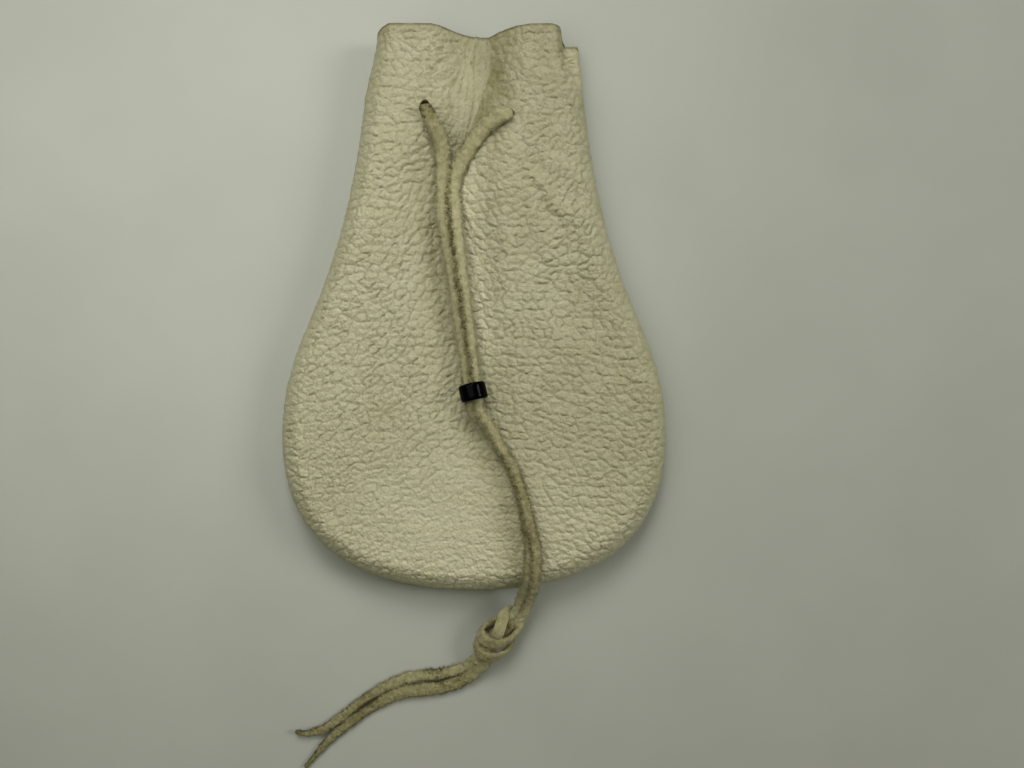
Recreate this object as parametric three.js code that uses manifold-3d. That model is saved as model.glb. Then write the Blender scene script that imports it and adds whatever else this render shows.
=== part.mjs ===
// Drawstring pouch of soft grained leather, lying on its back with its lace drawn.
// Two panels are sewn together all round with the seam turned inside. One lace runs through
// two pairs of holes below the mouth, and its two ends pass through a bead and share a knot.
// Millimetres, +Z up, mouth towards +Y. The origin is on the table, under the panels' middle.

import * as THREE from "three";
import { mergeVertices } from "three/addons/utils/BufferGeometryUtils.js";
import Module from "manifold-3d";

// Outline of the two panels
const pouchLength = 182;
const bellyHalfWidth = 63;
const bellyFromBottom = 50.5;
const mouthHalfWidth = 34.2;
const bottomReach = 38.7;
const flankReach = 35;
const shoulderReach = 39;
const neckReach = 91;
const neckFlare = 5.7;
const backMouthStep = 2.4;
const seamMouthStep = 6.6;

// Leather and turned seam: each panel's edge is folded in, over a little air
const leather = 1.5;
const clearance = 0.3;
const foldEase = 0.15;
const foldAir = 0.75;
const edgeEase = 0.6;
const seamAllowance = 4;
const threadRadius = 0.3;

// Swell of the front panel: a quick roll at the edge, and a slow one over the belly that
// fades out up the neck
const bellyHeight = 16;
const mouthHeight = 15;
const edgeRoll = 7.5;
const bellyRoll = 46;
const bellyRollShare = 0.3;
const bellyRollEnd = 66;
const lobeDent = { x: 33, y: 2, depth: 2, halfWidth: 11, halfLength: 32, turn: 1.15 };

// Corners of the mouth: the right one is a flat strip beside a steep wall and is cut lower in
// a step, and the left one is drawn in
const cornerStart = 68;
const cornerFull = 84;
const cornerStrip = 5.5;
const cornerRoll = 4.5;
const cornerStep = 4.6;
const cornerStepStart = 78;
const cornerStepSide = [5.3, 6.2];
const cornerTuck = 2.4;
const cornerTuckReach = 14;

// Gathered valley of the front panel, from the mouth down: where it lies, how deep it is, and
// how far it spreads to the left and to the right
const valley = [
  { y: 91, x: 4.8, depth: 10.6, left: 19.5, right: 17 },
  { y: 78, x: 4.6, depth: 7.6, left: 18.5, right: 14 },
  { y: 65, x: 1.0, depth: 5.5, left: 14, right: 12 },
  { y: 46, x: -6.5, depth: 6.8, left: 19, right: 17 },
  { y: 20, x: -6.6, depth: 6.2, left: 18.5, right: 18 },
  { y: -27, x: 0.2, depth: 3.0, left: 16, right: 16 },
  { y: -62, x: 5.0, depth: 0, left: 14, right: 16 },
];

// Towards the mouth the valley's floor is flat and ends in a crease on its right
const creaseStart = 62;
const creaseFull = 78;
const creaseSharpness = 2.3;

// Pleats in the leather between the holes, from the mouth down to where they fade out
const pleated = [
  { y: 91, x: 0.8, halfWidth: 4.4 },
  { y: 80, x: -1.2, halfWidth: 7.5 },
  { y: 65.5, x: -1.8, halfWidth: 13 },
  { y: 51, x: -4.2, halfWidth: 1.2 },
];
const pleatDepth = 0.4;
const pleatCount = 1.5;
const pleatFade = [56, 66];

// Lace, its holes, and the lift of the back panel where the lace crosses under it
const laceRadius = 1.2;
const holeEase = 0.5;
const frontHoles = [new THREE.Vector2(-15.3, 65.6), new THREE.Vector2(11.8, 62.4)];
const backHoles = [new THREE.Vector2(-8.5, 64), new THREE.Vector2(8.5, 64)];
const backLiftEase = 0.7;
const backLiftWidth = 11;
const backLiftLength = 5;
const backLiftFade = 7;

// Bead, and the straight stretch of doubled lace that it slides on
const beadRadius = 4.3;
const beadLength = 5.4;
const beadCorner = 0.9;
const beadLip = 0.3;
const slideStart = new THREE.Vector3(0.2, -25.9, 17.7);
const slideEnd = new THREE.Vector3(-7.3, 27.2, 13.9);
const straightPlaces = [1.08, 1.04, 1, 0.5, 0, -0.055, -0.11];

// Knot: a core of doubled lace with two turns round it, each at a share of the core's length
const knotStart = new THREE.Vector3(12.3, -102.1, 4.6);
const knotEnd = new THREE.Vector3(2.9, -113.6, 4.6);
const knotCore = 2.8;
const knotLace = 1.6;
const knotTurns = [-0.12, 0.14];
const knotTilt = 0.35;

// Routes of the lace: below the holes, doubled from the join to the knot, round the inside of
// the mouth, and the two tails
const leftFromHole = [
  [-15.4, 66.1, 16.8],
  [-15.0, 64.4, 17.0],
  [-14.4, 62.2, 17.0],
  [-12.8, 59.2, 16.7],
  [-10.9, 56.4, 15.0],
  [-9.8, 52.2, 12.7],
  [-9.6, 46.0, 11.2],
  [-9.6, 38.5, 12.6],
];
const rightFromHole = [
  [12.3, 62.5, 16.9],
  [10.4, 61.9, 16.4],
  [8.9, 61.4, 15.9],
  [7.2, 60.6, 15.1],
  [2.8, 58.2, 12.8],
  [-1.0, 53.5, 11.5],
  [-4.6, 48.4, 10.9],
  [-6.2, 43.5, 11.6],
  [-6.8, 38.5, 12.9],
];
const belowBead = [
  [5.3, -37.6, 17.1],
  [8.9, -43.8, 17.0],
  [13.0, -50.7, 17.4],
  [15.9, -60.1, 17.9],
  [17.7, -68.0, 17.8],
  [19.0, -74.6, 17.2],
  [18.9, -80.6, 16.7],
  [18.5, -85.2, 15.2],
  [17.8, -89.4, 12.1],
  [16.8, -93.2, 8.6],
  [15.1, -98.2, 5.5],
  [13.4, -100.8, 4.7],
  [12.5, -101.8, 4.6],
];
const mouthRun = [
  [-15.3, 65.6, 15.1],
  [-15.3, 65.6, 13.2],
  [-16.2, 65.5, 11.9],
  [-18.5, 65.3, 11.5],
  [-22.0, 65.0, 11.4],
  [-26.6, 64.6, 10.6],
  [-29.2, 64.3, 7.4],
  [-28.0, 64.1, 4.4],
  [-24.0, 64.0, 3.3],
  [-19.5, 64.0, 3.3],
  [-15.0, 64.0, 5.2],
  [-11.6, 64.0, 6.6],
  [-9.6, 64.0, 6.5],
  [-8.6, 64.0, 5.3],
  [-8.5, 64.0, 4.0],
  [-8.3, 64.0, 2.8],
  [-7.5, 64.0, 1.9],
  [-5.8, 64.0, 1.6],
  [-2.5, 64.0, 1.6],
  [2.5, 64.0, 1.6],
  [5.8, 64.0, 1.6],
  [7.5, 64.0, 1.9],
  [8.3, 64.0, 2.8],
  [8.5, 64.0, 4.0],
  [8.6, 64.0, 5.3],
  [9.6, 64.0, 6.5],
  [11.6, 64.0, 6.6],
  [15.0, 64.0, 5.2],
  [19.5, 63.9, 3.3],
  [24.0, 63.8, 3.3],
  [28.0, 63.6, 4.4],
  [29.2, 63.3, 7.4],
  [26.6, 62.9, 10.6],
  [21.5, 62.6, 11.5],
  [16.5, 62.5, 11.5],
  [13.8, 62.4, 11.8],
  [12.4, 62.4, 12.9],
  [11.8, 62.4, 14.9],
];
const curledTail = [
  [1.5, -113.1, 4.4],
  [0.7, -114.1, 4.3],
  [-1.4, -116.3, 2.8],
  [-4.6, -118.2, 1.6],
  [-12.9, -120.4, 1.5],
  [-21.9, -121.4, 1.5],
  [-31.2, -125.1, 1.5],
  [-38.5, -129.8, 1.5],
  [-46.5, -136.0, 1.5],
  [-52.1, -139.1, 1.5],
  [-59.1, -139.4, 1.8],
];
const thinTail = [
  [3.6, -114.8, 4.4],
  [2.8, -115.8, 4.3],
  [0.7, -118.6, 2.8],
  [-2.8, -121.2, 1.6],
  [-9.5, -124.3, 1.5],
  [-17.2, -125.3, 1.5],
  [-24.8, -126.2, 1.5],
  [-34.2, -131.1, 1.5],
  [-41.8, -136.1, 1.5],
  [-48.6, -141.8, 1.5],
  [-56.6, -151.4, 1.5],
];

// Fineness of the surfaces: rows of the neck crowd towards the mouth
const rowCrowding = 1.35;
const frontRows = 22;
const backRows = 12;
const bottomRays = 10;
const frontInsets = [0, 0.45, 1.1, 2.1, 3.6, 5.2, 6.3, 8.2, 11, 15];
const frontColumns = 13;
const backInsets = [0, 0.45, 1.1, 2.1, 5];
const backColumns = 5;
const threadSteps = 70;
const threadSides = 4;
const laceSides = 8;
const strandSteps = 40;
const mouthRunSteps = 76;
const tailSteps = 14;
const beadSegments = 24;
const holeSides = 12;
const knotSides = 12;
const turnSides = 8;
const turnSegments = 20;
const curveHalvings = 40;

// Sizes that follow from the ones above
const mouthY = pouchLength / 2;
const bottomY = -pouchLength / 2;
const bellyY = bottomY + bellyFromBottom;
const backMouthY = mouthY - backMouthStep;
const seamMouthY = mouthY - seamMouthStep;
const foldRadius = leather + foldEase;
const edgeRadius = leather + edgeEase;
const backSeam = 2 * leather + foldAir;
const seamHeight = backSeam + clearance / 2;
const frontSeam = backSeam + clearance;
const strandOffset = laceRadius + clearance / 2;
const beadBore = strandOffset + laceRadius + clearance;
const holeRadius = laceRadius + holeEase;
const backLift = 2 * laceRadius + backLiftEase;

function pointsOf(route) {
  return route.map((point) => new THREE.Vector3(...point));
}

// Middle of the doubled lace, straight where the bead slides and then down to the knot
const doubledLace = [
  ...straightPlaces.map((share) => slideStart.clone().lerp(slideEnd, share)),
  ...pointsOf(belowBead),
];

// Outline curves of the right half: the round bottom and the tapering neck
const bottomCurve = new THREE.CubicBezierCurve(
  new THREE.Vector2(0, bottomY),
  new THREE.Vector2(bottomReach, bottomY),
  new THREE.Vector2(bellyHalfWidth, bellyY - flankReach),
  new THREE.Vector2(bellyHalfWidth, bellyY),
);
const neckCurve = new THREE.CubicBezierCurve(
  new THREE.Vector2(bellyHalfWidth, bellyY),
  new THREE.Vector2(bellyHalfWidth, bellyY + shoulderReach),
  new THREE.Vector2(mouthHalfWidth + neckFlare, mouthY - neckReach),
  new THREE.Vector2(mouthHalfWidth, mouthY),
);

const { smoothstep, clamp } = THREE.MathUtils;

function mix(from, to, share) {
  return from + (to - from) * share;
}

// Half width of the neck at one height, found by halving the curve's parameter
function neckHalfWidth(y) {
  let low = 0;
  let high = 1;
  for (let step = 0; step < curveHalvings; step += 1) {
    const middle = (low + high) / 2;
    if (neckCurve.getPoint(middle).y < y) {
      low = middle;
    } else {
      high = middle;
    }
  }
  return neckCurve.getPoint(high).x;
}

// A rounded hump, 1 at the middle and 0 beyond one half width
function hump(offset) {
  return Math.abs(offset) < 1 ? (1 - offset * offset) ** 2 : 0;
}

// Values at one height, between places that are listed from the mouth down
function readerOf(places, keys, Interpolant) {
  const upward = [...places].reverse();
  const heights = upward.map((place) => place.y);
  const values = upward.flatMap((place) => keys.map((key) => place[key]));
  const curve = new Interpolant(heights, values, keys.length);
  return (y) => {
    const found = curve.evaluate(clamp(y, heights[0], heights[heights.length - 1]));
    return Object.fromEntries(keys.map((key, place) => [key, found[place]]));
  };
}

const valleyAt = readerOf(valley, ["x", "depth", "left", "right"], THREE.CubicInterpolant);
const pleatedAt = readerOf(pleated, ["x", "halfWidth"], THREE.LinearInterpolant);

function valleyDrop(x, y) {
  const at = valleyAt(y);
  const offset = x - at.x;
  const share = Math.min(Math.abs(offset) / (offset < 0 ? at.left : at.right), 1);
  const creased = offset < 0 ? (1 - share ** 3) ** 3 : (1 - share) ** creaseSharpness;
  return at.depth * mix(hump(share), creased, smoothstep(y, creaseStart, creaseFull));
}

function pleatRise(x, y) {
  const at = pleatedAt(y);
  const share = (x - at.x) / at.halfWidth;
  return pleatDepth * Math.cos(2 * Math.PI * pleatCount * share) * hump(share) * smoothstep(y, ...pleatFade);
}

// The soft dent beside the right lobe's ridge
function dentDrop(x, y) {
  const across = (x - lobeDent.x) * Math.sin(lobeDent.turn) + (y - lobeDent.y) * Math.cos(lobeDent.turn);
  const along = (x - lobeDent.x) * Math.cos(lobeDent.turn) - (y - lobeDent.y) * Math.sin(lobeDent.turn);
  return lobeDent.depth * hump(across / lobeDent.halfWidth) * hump(along / lobeDent.halfLength);
}

// Height of the front panel's outside, at a place that lies inset from the panel's edge
function frontHeight(x, y, inset) {
  const rounding = 1 - clamp(inset / edgeRadius, 0, 1);
  const edge = frontSeam + foldRadius + edgeRadius * Math.sqrt(1 - rounding * rounding);
  const full = mix(bellyHeight, mouthHeight, smoothstep(y, bellyY, mouthY));
  const swell = full - (frontSeam + foldRadius + edgeRadius);
  const corner = x > 0 ? smoothstep(y, cornerStart, cornerFull) : 0;
  const roll = clamp((inset - cornerStrip * corner) / mix(edgeRoll, cornerRoll, corner), 0, 1);
  const quick = mix(Math.sin((roll * Math.PI) / 2), Math.sqrt(roll * (2 - roll)), corner);
  const slow = Math.sin((clamp(inset / bellyRoll, 0, 1) * Math.PI) / 2);
  const rise = mix(quick, slow, bellyRollShare * (1 - smoothstep(y, bellyY, bellyRollEnd)));
  return edge + (swell - valleyDrop(x, y) - dentDrop(x, y) + pleatRise(x, y)) * rise;
}

// Where a place of a panel lies once the left corner of the mouth is drawn in
function tucked(place, inset) {
  const drawn = smoothstep(place.y, cornerStart, mouthY) * (1 - smoothstep(inset, 0, cornerTuckReach));
  return new THREE.Vector2(place.x < 0 ? place.x + cornerTuck * drawn : place.x, place.y);
}

// The same for the front panel, with the step in its right corner
function trimmed(place, inset) {
  const cut = smoothstep(place.y, cornerStepStart, mouthY) * (1 - smoothstep(inset, ...cornerStepSide));
  const moved = tucked(place, inset);
  return place.x > 0 ? moved.setY(moved.y - cornerStep * cut) : moved;
}

// Height of the back panel's outside: flat, and lifted where the lace crosses under it
function backHeight(x, y, inset) {
  const rounding = 1 - clamp(inset / (backSeam - foldRadius), 0, 1);
  const edge = (backSeam - foldRadius) * (1 - Math.sqrt(1 - rounding * rounding));
  const across = 1 - smoothstep(Math.abs(x), backLiftWidth, backLiftWidth + backLiftFade);
  const along = 1 - smoothstep(Math.abs(y - backHoles[0].y), backLiftLength, backLiftLength + backLiftFade);
  return edge + backLift * across * along;
}

// Stations round a panel from the right of the mouth, by the bottom, to the left of the mouth.
// Each runs from a point on the outline in to the spine, which ends in a pole at the belly.
function stationsOf(panelMouthY, neckRows) {
  const right = [];
  for (let row = neckRows; row > 0; row -= 1) {
    const y = mix(bellyY, panelMouthY, 1 - (1 - row / neckRows) ** rowCrowding);
    right.push({ edge: new THREE.Vector2(neckHalfWidth(y), y), spine: new THREE.Vector2(0, y) });
  }
  for (let ray = bottomRays; ray > 0; ray -= 1) {
    right.push({ edge: bottomCurve.getPointAt(ray / bottomRays), spine: new THREE.Vector2(0, bellyY) });
  }
  const left = right.map(({ edge, spine }) => ({ edge: new THREE.Vector2(-edge.x, edge.y), spine }));
  const foot = { edge: new THREE.Vector2(0, bottomY), spine: new THREE.Vector2(0, bellyY) };
  return [...right, foot, ...left.reverse()];
}

// The leather's outside along one station: in from the free edge of the turned allowance,
// round the fold, up over the rolled edge and on to the spine
function sectionOf({ edge, spine }, { seam, turn, height, trim, insets, columns }) {
  const inward = spine.clone().sub(edge);
  const width = inward.length();
  inward.normalize();
  const at = (inset, z) => {
    const place = inward.clone().multiplyScalar(inset).add(edge);
    const { x, y } = trim(place, inset);
    return new THREE.Vector3(x, y, z ?? height(place.x, place.y, inset));
  };
  const section = [at(foldRadius + seamAllowance, seam), at(foldRadius, seam)];
  for (const angle of [Math.PI / 6, Math.PI / 3]) {
    section.push(at(foldRadius * (1 - Math.sin(angle)), seam + turn * foldRadius * (1 - Math.cos(angle))));
  }
  for (const inset of insets) {
    section.push(at(inset));
  }
  const last = insets[insets.length - 1];
  for (let column = 1; column <= columns; column += 1) {
    section.push(at(mix(last, width, column / columns)));
  }
  return section;
}

// An open skin through sections with equal numbers of points, welded where they meet
function skinOf(sections) {
  const count = sections[0].length;
  const corners = [];
  for (let row = 0; row + 1 < sections.length; row += 1) {
    for (let place = 0; place + 1 < count; place += 1) {
      const here = row * count + place;
      const next = here + count;
      corners.push(here, here + 1, next, here + 1, next + 1, next);
    }
  }
  const loose = new THREE.BufferGeometry().setFromPoints(sections.flat());
  loose.setIndex(corners);
  const skin = mergeVertices(loose, 1e-3);
  const welded = skin.index.array;
  const kept = [];
  for (let face = 0; face < welded.length; face += 3) {
    const [a, b, c] = welded.slice(face, face + 3);
    if (a !== b && b !== c && c !== a) {
      kept.push(a, b, c);
    }
  }
  skin.setIndex(kept);
  skin.computeVertexNormals();
  return skin;
}

// A closed sheet: the skin, the same skin set in by the thickness, and a strip round the rim
function sheetOf(skin, thickness) {
  const outside = skin.attributes.position;
  const normals = skin.attributes.normal;
  const points = [];
  const inside = [];
  for (let corner = 0; corner < outside.count; corner += 1) {
    const point = new THREE.Vector3().fromBufferAttribute(outside, corner);
    const normal = new THREE.Vector3().fromBufferAttribute(normals, corner);
    points.push(point);
    inside.push(point.clone().addScaledVector(normal, -thickness));
  }
  const shift = points.length;
  const faces = Array.from(skin.index.array);
  const edges = new Set();
  const corners = [];
  for (let face = 0; face < faces.length; face += 3) {
    const [a, b, c] = faces.slice(face, face + 3);
    corners.push(a, b, c, a + shift, c + shift, b + shift);
    edges.add(`${a} ${b}`).add(`${b} ${c}`).add(`${c} ${a}`);
  }
  for (const edge of edges) {
    const [a, b] = edge.split(" ").map(Number);
    if (!edges.has(`${b} ${a}`)) {
      corners.push(b, a, a + shift, b, a + shift, b + shift);
    }
  }
  const sheet = new THREE.BufferGeometry().setFromPoints([...points, ...inside]);
  return sheet.setIndex(corners);
}

// Solids for cutting and joining, and geometry made from them again
const wasm = await Module();
wasm.setup();

function solidOf(geometry) {
  const bare = geometry.clone();
  bare.deleteAttribute("normal");
  bare.deleteAttribute("uv");
  const welded = mergeVertices(bare);
  const vertProperties = new Float32Array(welded.attributes.position.array);
  const triVerts = new Uint32Array(welded.index.array);
  return new wasm.Manifold(new wasm.Mesh({ numProp: 3, vertProperties, triVerts }));
}

function geometryOf(solid) {
  const { vertProperties, triVerts } = solid.getMesh();
  const geometry = new THREE.BufferGeometry();
  geometry.setAttribute("position", new THREE.BufferAttribute(vertProperties, 3));
  return geometry.setIndex(new THREE.BufferAttribute(triVerts, 1));
}

// Round holes through a panel, square to the leather
function punch(sheet, holes, height) {
  let solid = solidOf(sheet);
  for (const hole of holes) {
    const at = (x, y) => height(x, y, neckHalfWidth(y) - Math.abs(x));
    const slopeX = at(hole.x + leather, hole.y) - at(hole.x - leather, hole.y);
    const slopeY = at(hole.x, hole.y + leather) - at(hole.x, hole.y - leather);
    const normal = new THREE.Vector3(-slopeX, -slopeY, 2 * leather).normalize();
    const cutter = new THREE.CylinderGeometry(holeRadius, holeRadius, 6 * leather, holeSides);
    cutter.applyQuaternion(new THREE.Quaternion().setFromUnitVectors(THREE.Object3D.DEFAULT_UP, normal));
    cutter.translate(hole.x, hole.y, at(hole.x, hole.y));
    solid = solid.subtract(solidOf(cutter));
  }
  return geometryOf(solid);
}

function frontPanel() {
  const cut = {
    seam: frontSeam,
    turn: 1,
    height: frontHeight,
    trim: trimmed,
    insets: frontInsets,
    columns: frontColumns,
  };
  const sections = stationsOf(mouthY, frontRows).map((station) => sectionOf(station, cut));
  return punch(sheetOf(skinOf(sections), leather), frontHoles, frontHeight);
}

function backPanel() {
  const cut = {
    seam: backSeam,
    turn: -1,
    height: backHeight,
    trim: tucked,
    insets: backInsets,
    columns: backColumns,
  };
  const sections = stationsOf(backMouthY, backRows).reverse().map((station) => sectionOf(station, cut));
  return punch(sheetOf(skinOf(sections), leather), backHoles, backHeight);
}

// A round tube with flat ends along a smooth curve
function tube(points, radius, steps, sides) {
  const corners = Array.from({ length: sides }, (_, side) => {
    const angle = (2 * Math.PI * side) / sides;
    return new THREE.Vector2(radius * Math.cos(angle), radius * Math.sin(angle));
  });
  const extrudePath = new THREE.CatmullRomCurve3(points, false, "centripetal");
  return new THREE.ExtrudeGeometry(new THREE.Shape(corners), { steps, extrudePath });
}

// The seam's thread lies in the groove between the two folds
function seamThread() {
  const reach = foldRadius + threadRadius + clearance;
  const inset = foldRadius - Math.sqrt(reach ** 2 - (foldRadius + clearance / 2) ** 2);
  const points = stationsOf(seamMouthY, backRows).map(({ edge, spine }) => {
    const { x, y } = tucked(spine.clone().sub(edge).setLength(inset).add(edge), inset);
    return new THREE.Vector3(x, y, seamHeight);
  });
  return tube(points, threadRadius, threadSteps, threadSides);
}

// A strip's centre line beside the middle of the doubled lace
function beside(points, offset) {
  return points.map((point, place) => {
    const before = points[Math.max(place - 1, 0)];
    const after = points[Math.min(place + 1, points.length - 1)];
    const along = after.clone().sub(before);
    const side = new THREE.Vector3(-along.y, along.x, 0).setLength(offset);
    return point.clone().add(side);
  });
}

function laceStrand(fromHole, offset) {
  return tube([...pointsOf(fromHole), ...beside(doubledLace, offset)], laceRadius, strandSteps, laceSides);
}

// The bead: a short round tube with soft corners, turned about the axis that it slides on
function bead() {
  const half = beadLength / 2;
  const profile = new THREE.Path();
  profile.moveTo(beadBore + beadLip, -half);
  profile.lineTo(beadRadius - beadCorner, -half);
  profile.absarc(beadRadius - beadCorner, beadCorner - half, beadCorner, -Math.PI / 2, 0, false);
  profile.lineTo(beadRadius, half - beadCorner);
  profile.absarc(beadRadius - beadCorner, half - beadCorner, beadCorner, 0, Math.PI / 2, false);
  profile.lineTo(beadBore + beadLip, half);
  profile.lineTo(beadBore, half - beadLip);
  profile.lineTo(beadBore, beadLip - half);
  profile.closePath();
  return new THREE.LatheGeometry(profile.getPoints(2), beadSegments);
}

// The knot: the doubled lace as a core, and the turns that it takes round itself
function knot() {
  const length = knotEnd.distanceTo(knotStart);
  const core = new THREE.CylinderGeometry(knotCore, knotCore, length, knotSides);
  let solid = solidOf(core);
  for (const share of knotTurns) {
    const turn = new THREE.TorusGeometry(knotCore, knotLace, turnSides, turnSegments);
    turn.rotateX(Math.PI / 2).rotateZ(knotTilt).translate(0, length * share, 0);
    solid = solid.add(solidOf(turn));
  }
  return geometryOf(solid);
}

const creamLeather = new THREE.MeshStandardMaterial({ color: 0xaaa687, roughness: 0.75, metalness: 0 });
const laceLeather = new THREE.MeshStandardMaterial({ color: 0x827d58, roughness: 0.95, metalness: 0 });
const paleThread = new THREE.MeshStandardMaterial({ color: 0x9a9575, roughness: 0.9, metalness: 0 });
const blackGlass = new THREE.MeshStandardMaterial({ color: 0x060606, roughness: 0.12, metalness: 0 });

const pouch = new THREE.Group();
function place(name, geometry, material) {
  const mesh = new THREE.Mesh(geometry, material);
  mesh.name = name;
  pouch.add(mesh);
  return mesh;
}

place("front_panel", frontPanel(), creamLeather);
place("back_panel", backPanel(), creamLeather);
place("seam_thread", seamThread(), paleThread);
place("lace_mouth_run", tube(pointsOf(mouthRun), laceRadius, mouthRunSteps, laceSides), laceLeather);
place("lace_left_strand", laceStrand(leftFromHole, -strandOffset), laceLeather);
place("lace_right_strand", laceStrand(rightFromHole, strandOffset), laceLeather);
place("lace_tail_curled", tube(pointsOf(curledTail), laceRadius, tailSteps, laceSides), laceLeather);
place("lace_tail_thin", tube(pointsOf(thinTail), laceRadius, tailSteps, laceSides), laceLeather);

const slideDirection = slideEnd.clone().sub(slideStart).normalize();
const cordBead = place("cord_bead", bead(), blackGlass);
cordBead.quaternion.setFromUnitVectors(THREE.Object3D.DEFAULT_UP, slideDirection);
cordBead.position.copy(slideStart);

const laceKnot = place("lace_knot", knot(), laceLeather);
laceKnot.quaternion.setFromUnitVectors(THREE.Object3D.DEFAULT_UP, knotEnd.clone().sub(knotStart).normalize());
laceKnot.position.copy(knotStart).lerp(knotEnd, 0.5);

export default pouch;
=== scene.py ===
"""Looks of a drawstring pouch of grained leather, lying on its back with its lace drawn.

Sizes are in millimetres until a mesh is made, in the frame of the solids: +Z up, mouth towards +Y.
A pair of numbers for a fade gives where it starts and where it is full.
"""

import math

import bmesh
import bpy
import numpy as np
from mathutils import Matrix, Vector, geometry


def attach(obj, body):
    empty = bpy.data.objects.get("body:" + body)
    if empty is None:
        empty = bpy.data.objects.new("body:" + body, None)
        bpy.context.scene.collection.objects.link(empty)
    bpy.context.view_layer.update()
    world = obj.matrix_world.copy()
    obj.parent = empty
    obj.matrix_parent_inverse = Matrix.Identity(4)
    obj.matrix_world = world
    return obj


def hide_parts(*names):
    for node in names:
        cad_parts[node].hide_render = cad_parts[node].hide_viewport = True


MM = 0.001
SEED = 20
TINY = 1e-9
FAR = 1e9

# Outline of the two panels
MOUTH_Y = 91.0
BACK_MOUTH_Y = 88.6
BOTTOM_Y = -91.0
BELLY_Y = -40.5
BELLY_HALF_WIDTH = 63.0
MOUTH_HALF_WIDTH = 34.2
BELLY_END = (BELLY_HALF_WIDTH, BELLY_Y)
BOTTOM_CURVE = [(0, BOTTOM_Y), (38.7, BOTTOM_Y), (BELLY_HALF_WIDTH, BELLY_Y - 35), BELLY_END]
NECK_CURVE = [BELLY_END, (BELLY_HALF_WIDTH, BELLY_Y + 39), (39.9, 0), (MOUTH_HALF_WIDTH, MOUTH_Y)]
CURVE_POINTS = 600

# Leather and turned seam
LEATHER = 1.5
FOLD_RADIUS = 1.65
FOLD_ANGLES = (60, 30, 0)
EDGE_RADIUS = 2.1
ALLOWANCE = 4.0
ALLOWANCE_SHARES = (0.5, 1)
FRONT_SEAM = 4.05
BACK_SEAM = 3.75

# Swell of the front panel, and the right corner of its mouth
BELLY_HEIGHT = 16.0
MOUTH_HEIGHT = 15.0
EDGE_ROLL = 7.5
BELLY_ROLL = 46.0
BELLY_SHARE = 0.3
BELLY_ROLL_END = MOUTH_Y - 25
CORNER_ROLL = 4.5
CORNER_STRIP = 5.5
CORNER_START = 68.0
CORNER_FULL = 84.0
CORNER_STEP = 4.6
CORNER_STEP_START = 78.0
CORNER_STEP_FADE = (CORNER_STRIP - 0.2, CORNER_STRIP + 0.7)
CORNER_TUCK = 2.4
TUCK_REACH = 14

# Valley of the front panel: place along the pouch, across it, depth, spread left and right
VALLEY_Y = [-62, -27, 20, 46, 65, 78, 91]
VALLEY_X = [5, 0.2, -6.6, -6.5, 1, 4.6, 4.8]
VALLEY_DEPTH = [0, 3, 6.2, 6.8, 5.5, 7.6, 10.6]
VALLEY_LEFT = [14, 16, 18.5, 19, 14, 18.5, 19.5]
VALLEY_RIGHT = [16, 16, 18, 17, 12, 14, 17]
CREASE_POWER = 2.3
KINK_FADE = (62, 78)

# Dent on the right of the belly
DENT_AT = (33, 2)
DENT_TURN = 1.15
DENT_DEPTH = 2.0
DENT_WIDTH = 11
DENT_LENGTH = 32

# Stretched leather between the holes, with its main pleats and the finer ones: height, number, waver
KITE_Y = [51, 65.5, 80, 91]
KITE_X = [-4.2, -1.8, -1.2, 0.8]
KITE_HALF = [1.2, 13, 7.5, 4.4]
KITE_FADE = (KITE_Y[0], KITE_Y[0] + 8)
PLEAT_HEIGHT = 0.3
PLEAT_NUMBER = 1.5
PLEAT_FADE = (56, 66)
FAN = [(0.18, 3.1, 0.5), (0.32, 5.7, 0.8)]
FAN_UNEVEN = 0.6

# Wrinkles above the left hole, lumps all over, and pulls that run from the holes to the right of the belly
WRINKLE_TURN = 0.68
WRINKLE_HEIGHT = 0.3
WRINKLE_PITCH = 3.1
WRINKLE_WAVER = 0.5
WRINKLE_AT = (-11, 77)
WRINKLE_SPREAD = (11, 13)
LUMPS = [(0.35, 19, 71), (0.2, 9, 72)]
PULL_HEIGHT = 0.55
PULL_FROM = (2, 66)
PULL_PITCH = 13
PULL_WAVER = 0.3
PULL_TURN = -52
PULL_TURN_HALF = 30
PULL_AWAY = 45
PULL_AWAY_HALF = 40
GATHER_FADE = (1, 9)

# Sizes and seeds of the noise in these forms
WAVER_NOISE = (9, 70)
FAN_NOISE = (5, 73)
RIM_NOISE = (4, 74)
BEAD_NOISE = (3.5, 60)

# Holes and lift of the back panel
HOLE_RADIUS = 1.4
HOLE_SIDES = 24
FRONT_HOLES = [(-15.2, 65.2), (11.6, 62.4)]
BACK_HOLE_Y = 64.0
BACK_HOLES = [(-8.5, BACK_HOLE_Y), (8.5, BACK_HOLE_Y)]
BACK_LIFT = 3.1
LIFT_ACROSS = (11, 18)
LIFT_ALONG = (5, 12)

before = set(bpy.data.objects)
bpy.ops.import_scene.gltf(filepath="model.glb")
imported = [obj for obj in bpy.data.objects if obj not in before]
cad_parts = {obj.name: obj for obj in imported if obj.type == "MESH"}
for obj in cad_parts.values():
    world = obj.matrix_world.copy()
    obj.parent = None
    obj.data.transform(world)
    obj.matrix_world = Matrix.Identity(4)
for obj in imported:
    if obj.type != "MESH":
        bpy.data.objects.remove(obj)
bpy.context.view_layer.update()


# Plain numbers

HASH_FACTORS = (73856093, 19349663, 83492791, 39916801)
HASH_STEP = np.uint32(2654435761)
HASH_END = np.uint32(2246822519)


def smooth(value, low, high):
    share = np.clip((value - low) / (high - low), 0, 1)
    return share * share * (3 - 2 * share)


def mix(low, high, share):
    return low + (high - low) * share


def hump(offset):
    return np.where(np.abs(offset) < 1, (1 - np.minimum(np.abs(offset), 1) ** 2) ** 2, 0.0)


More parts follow.
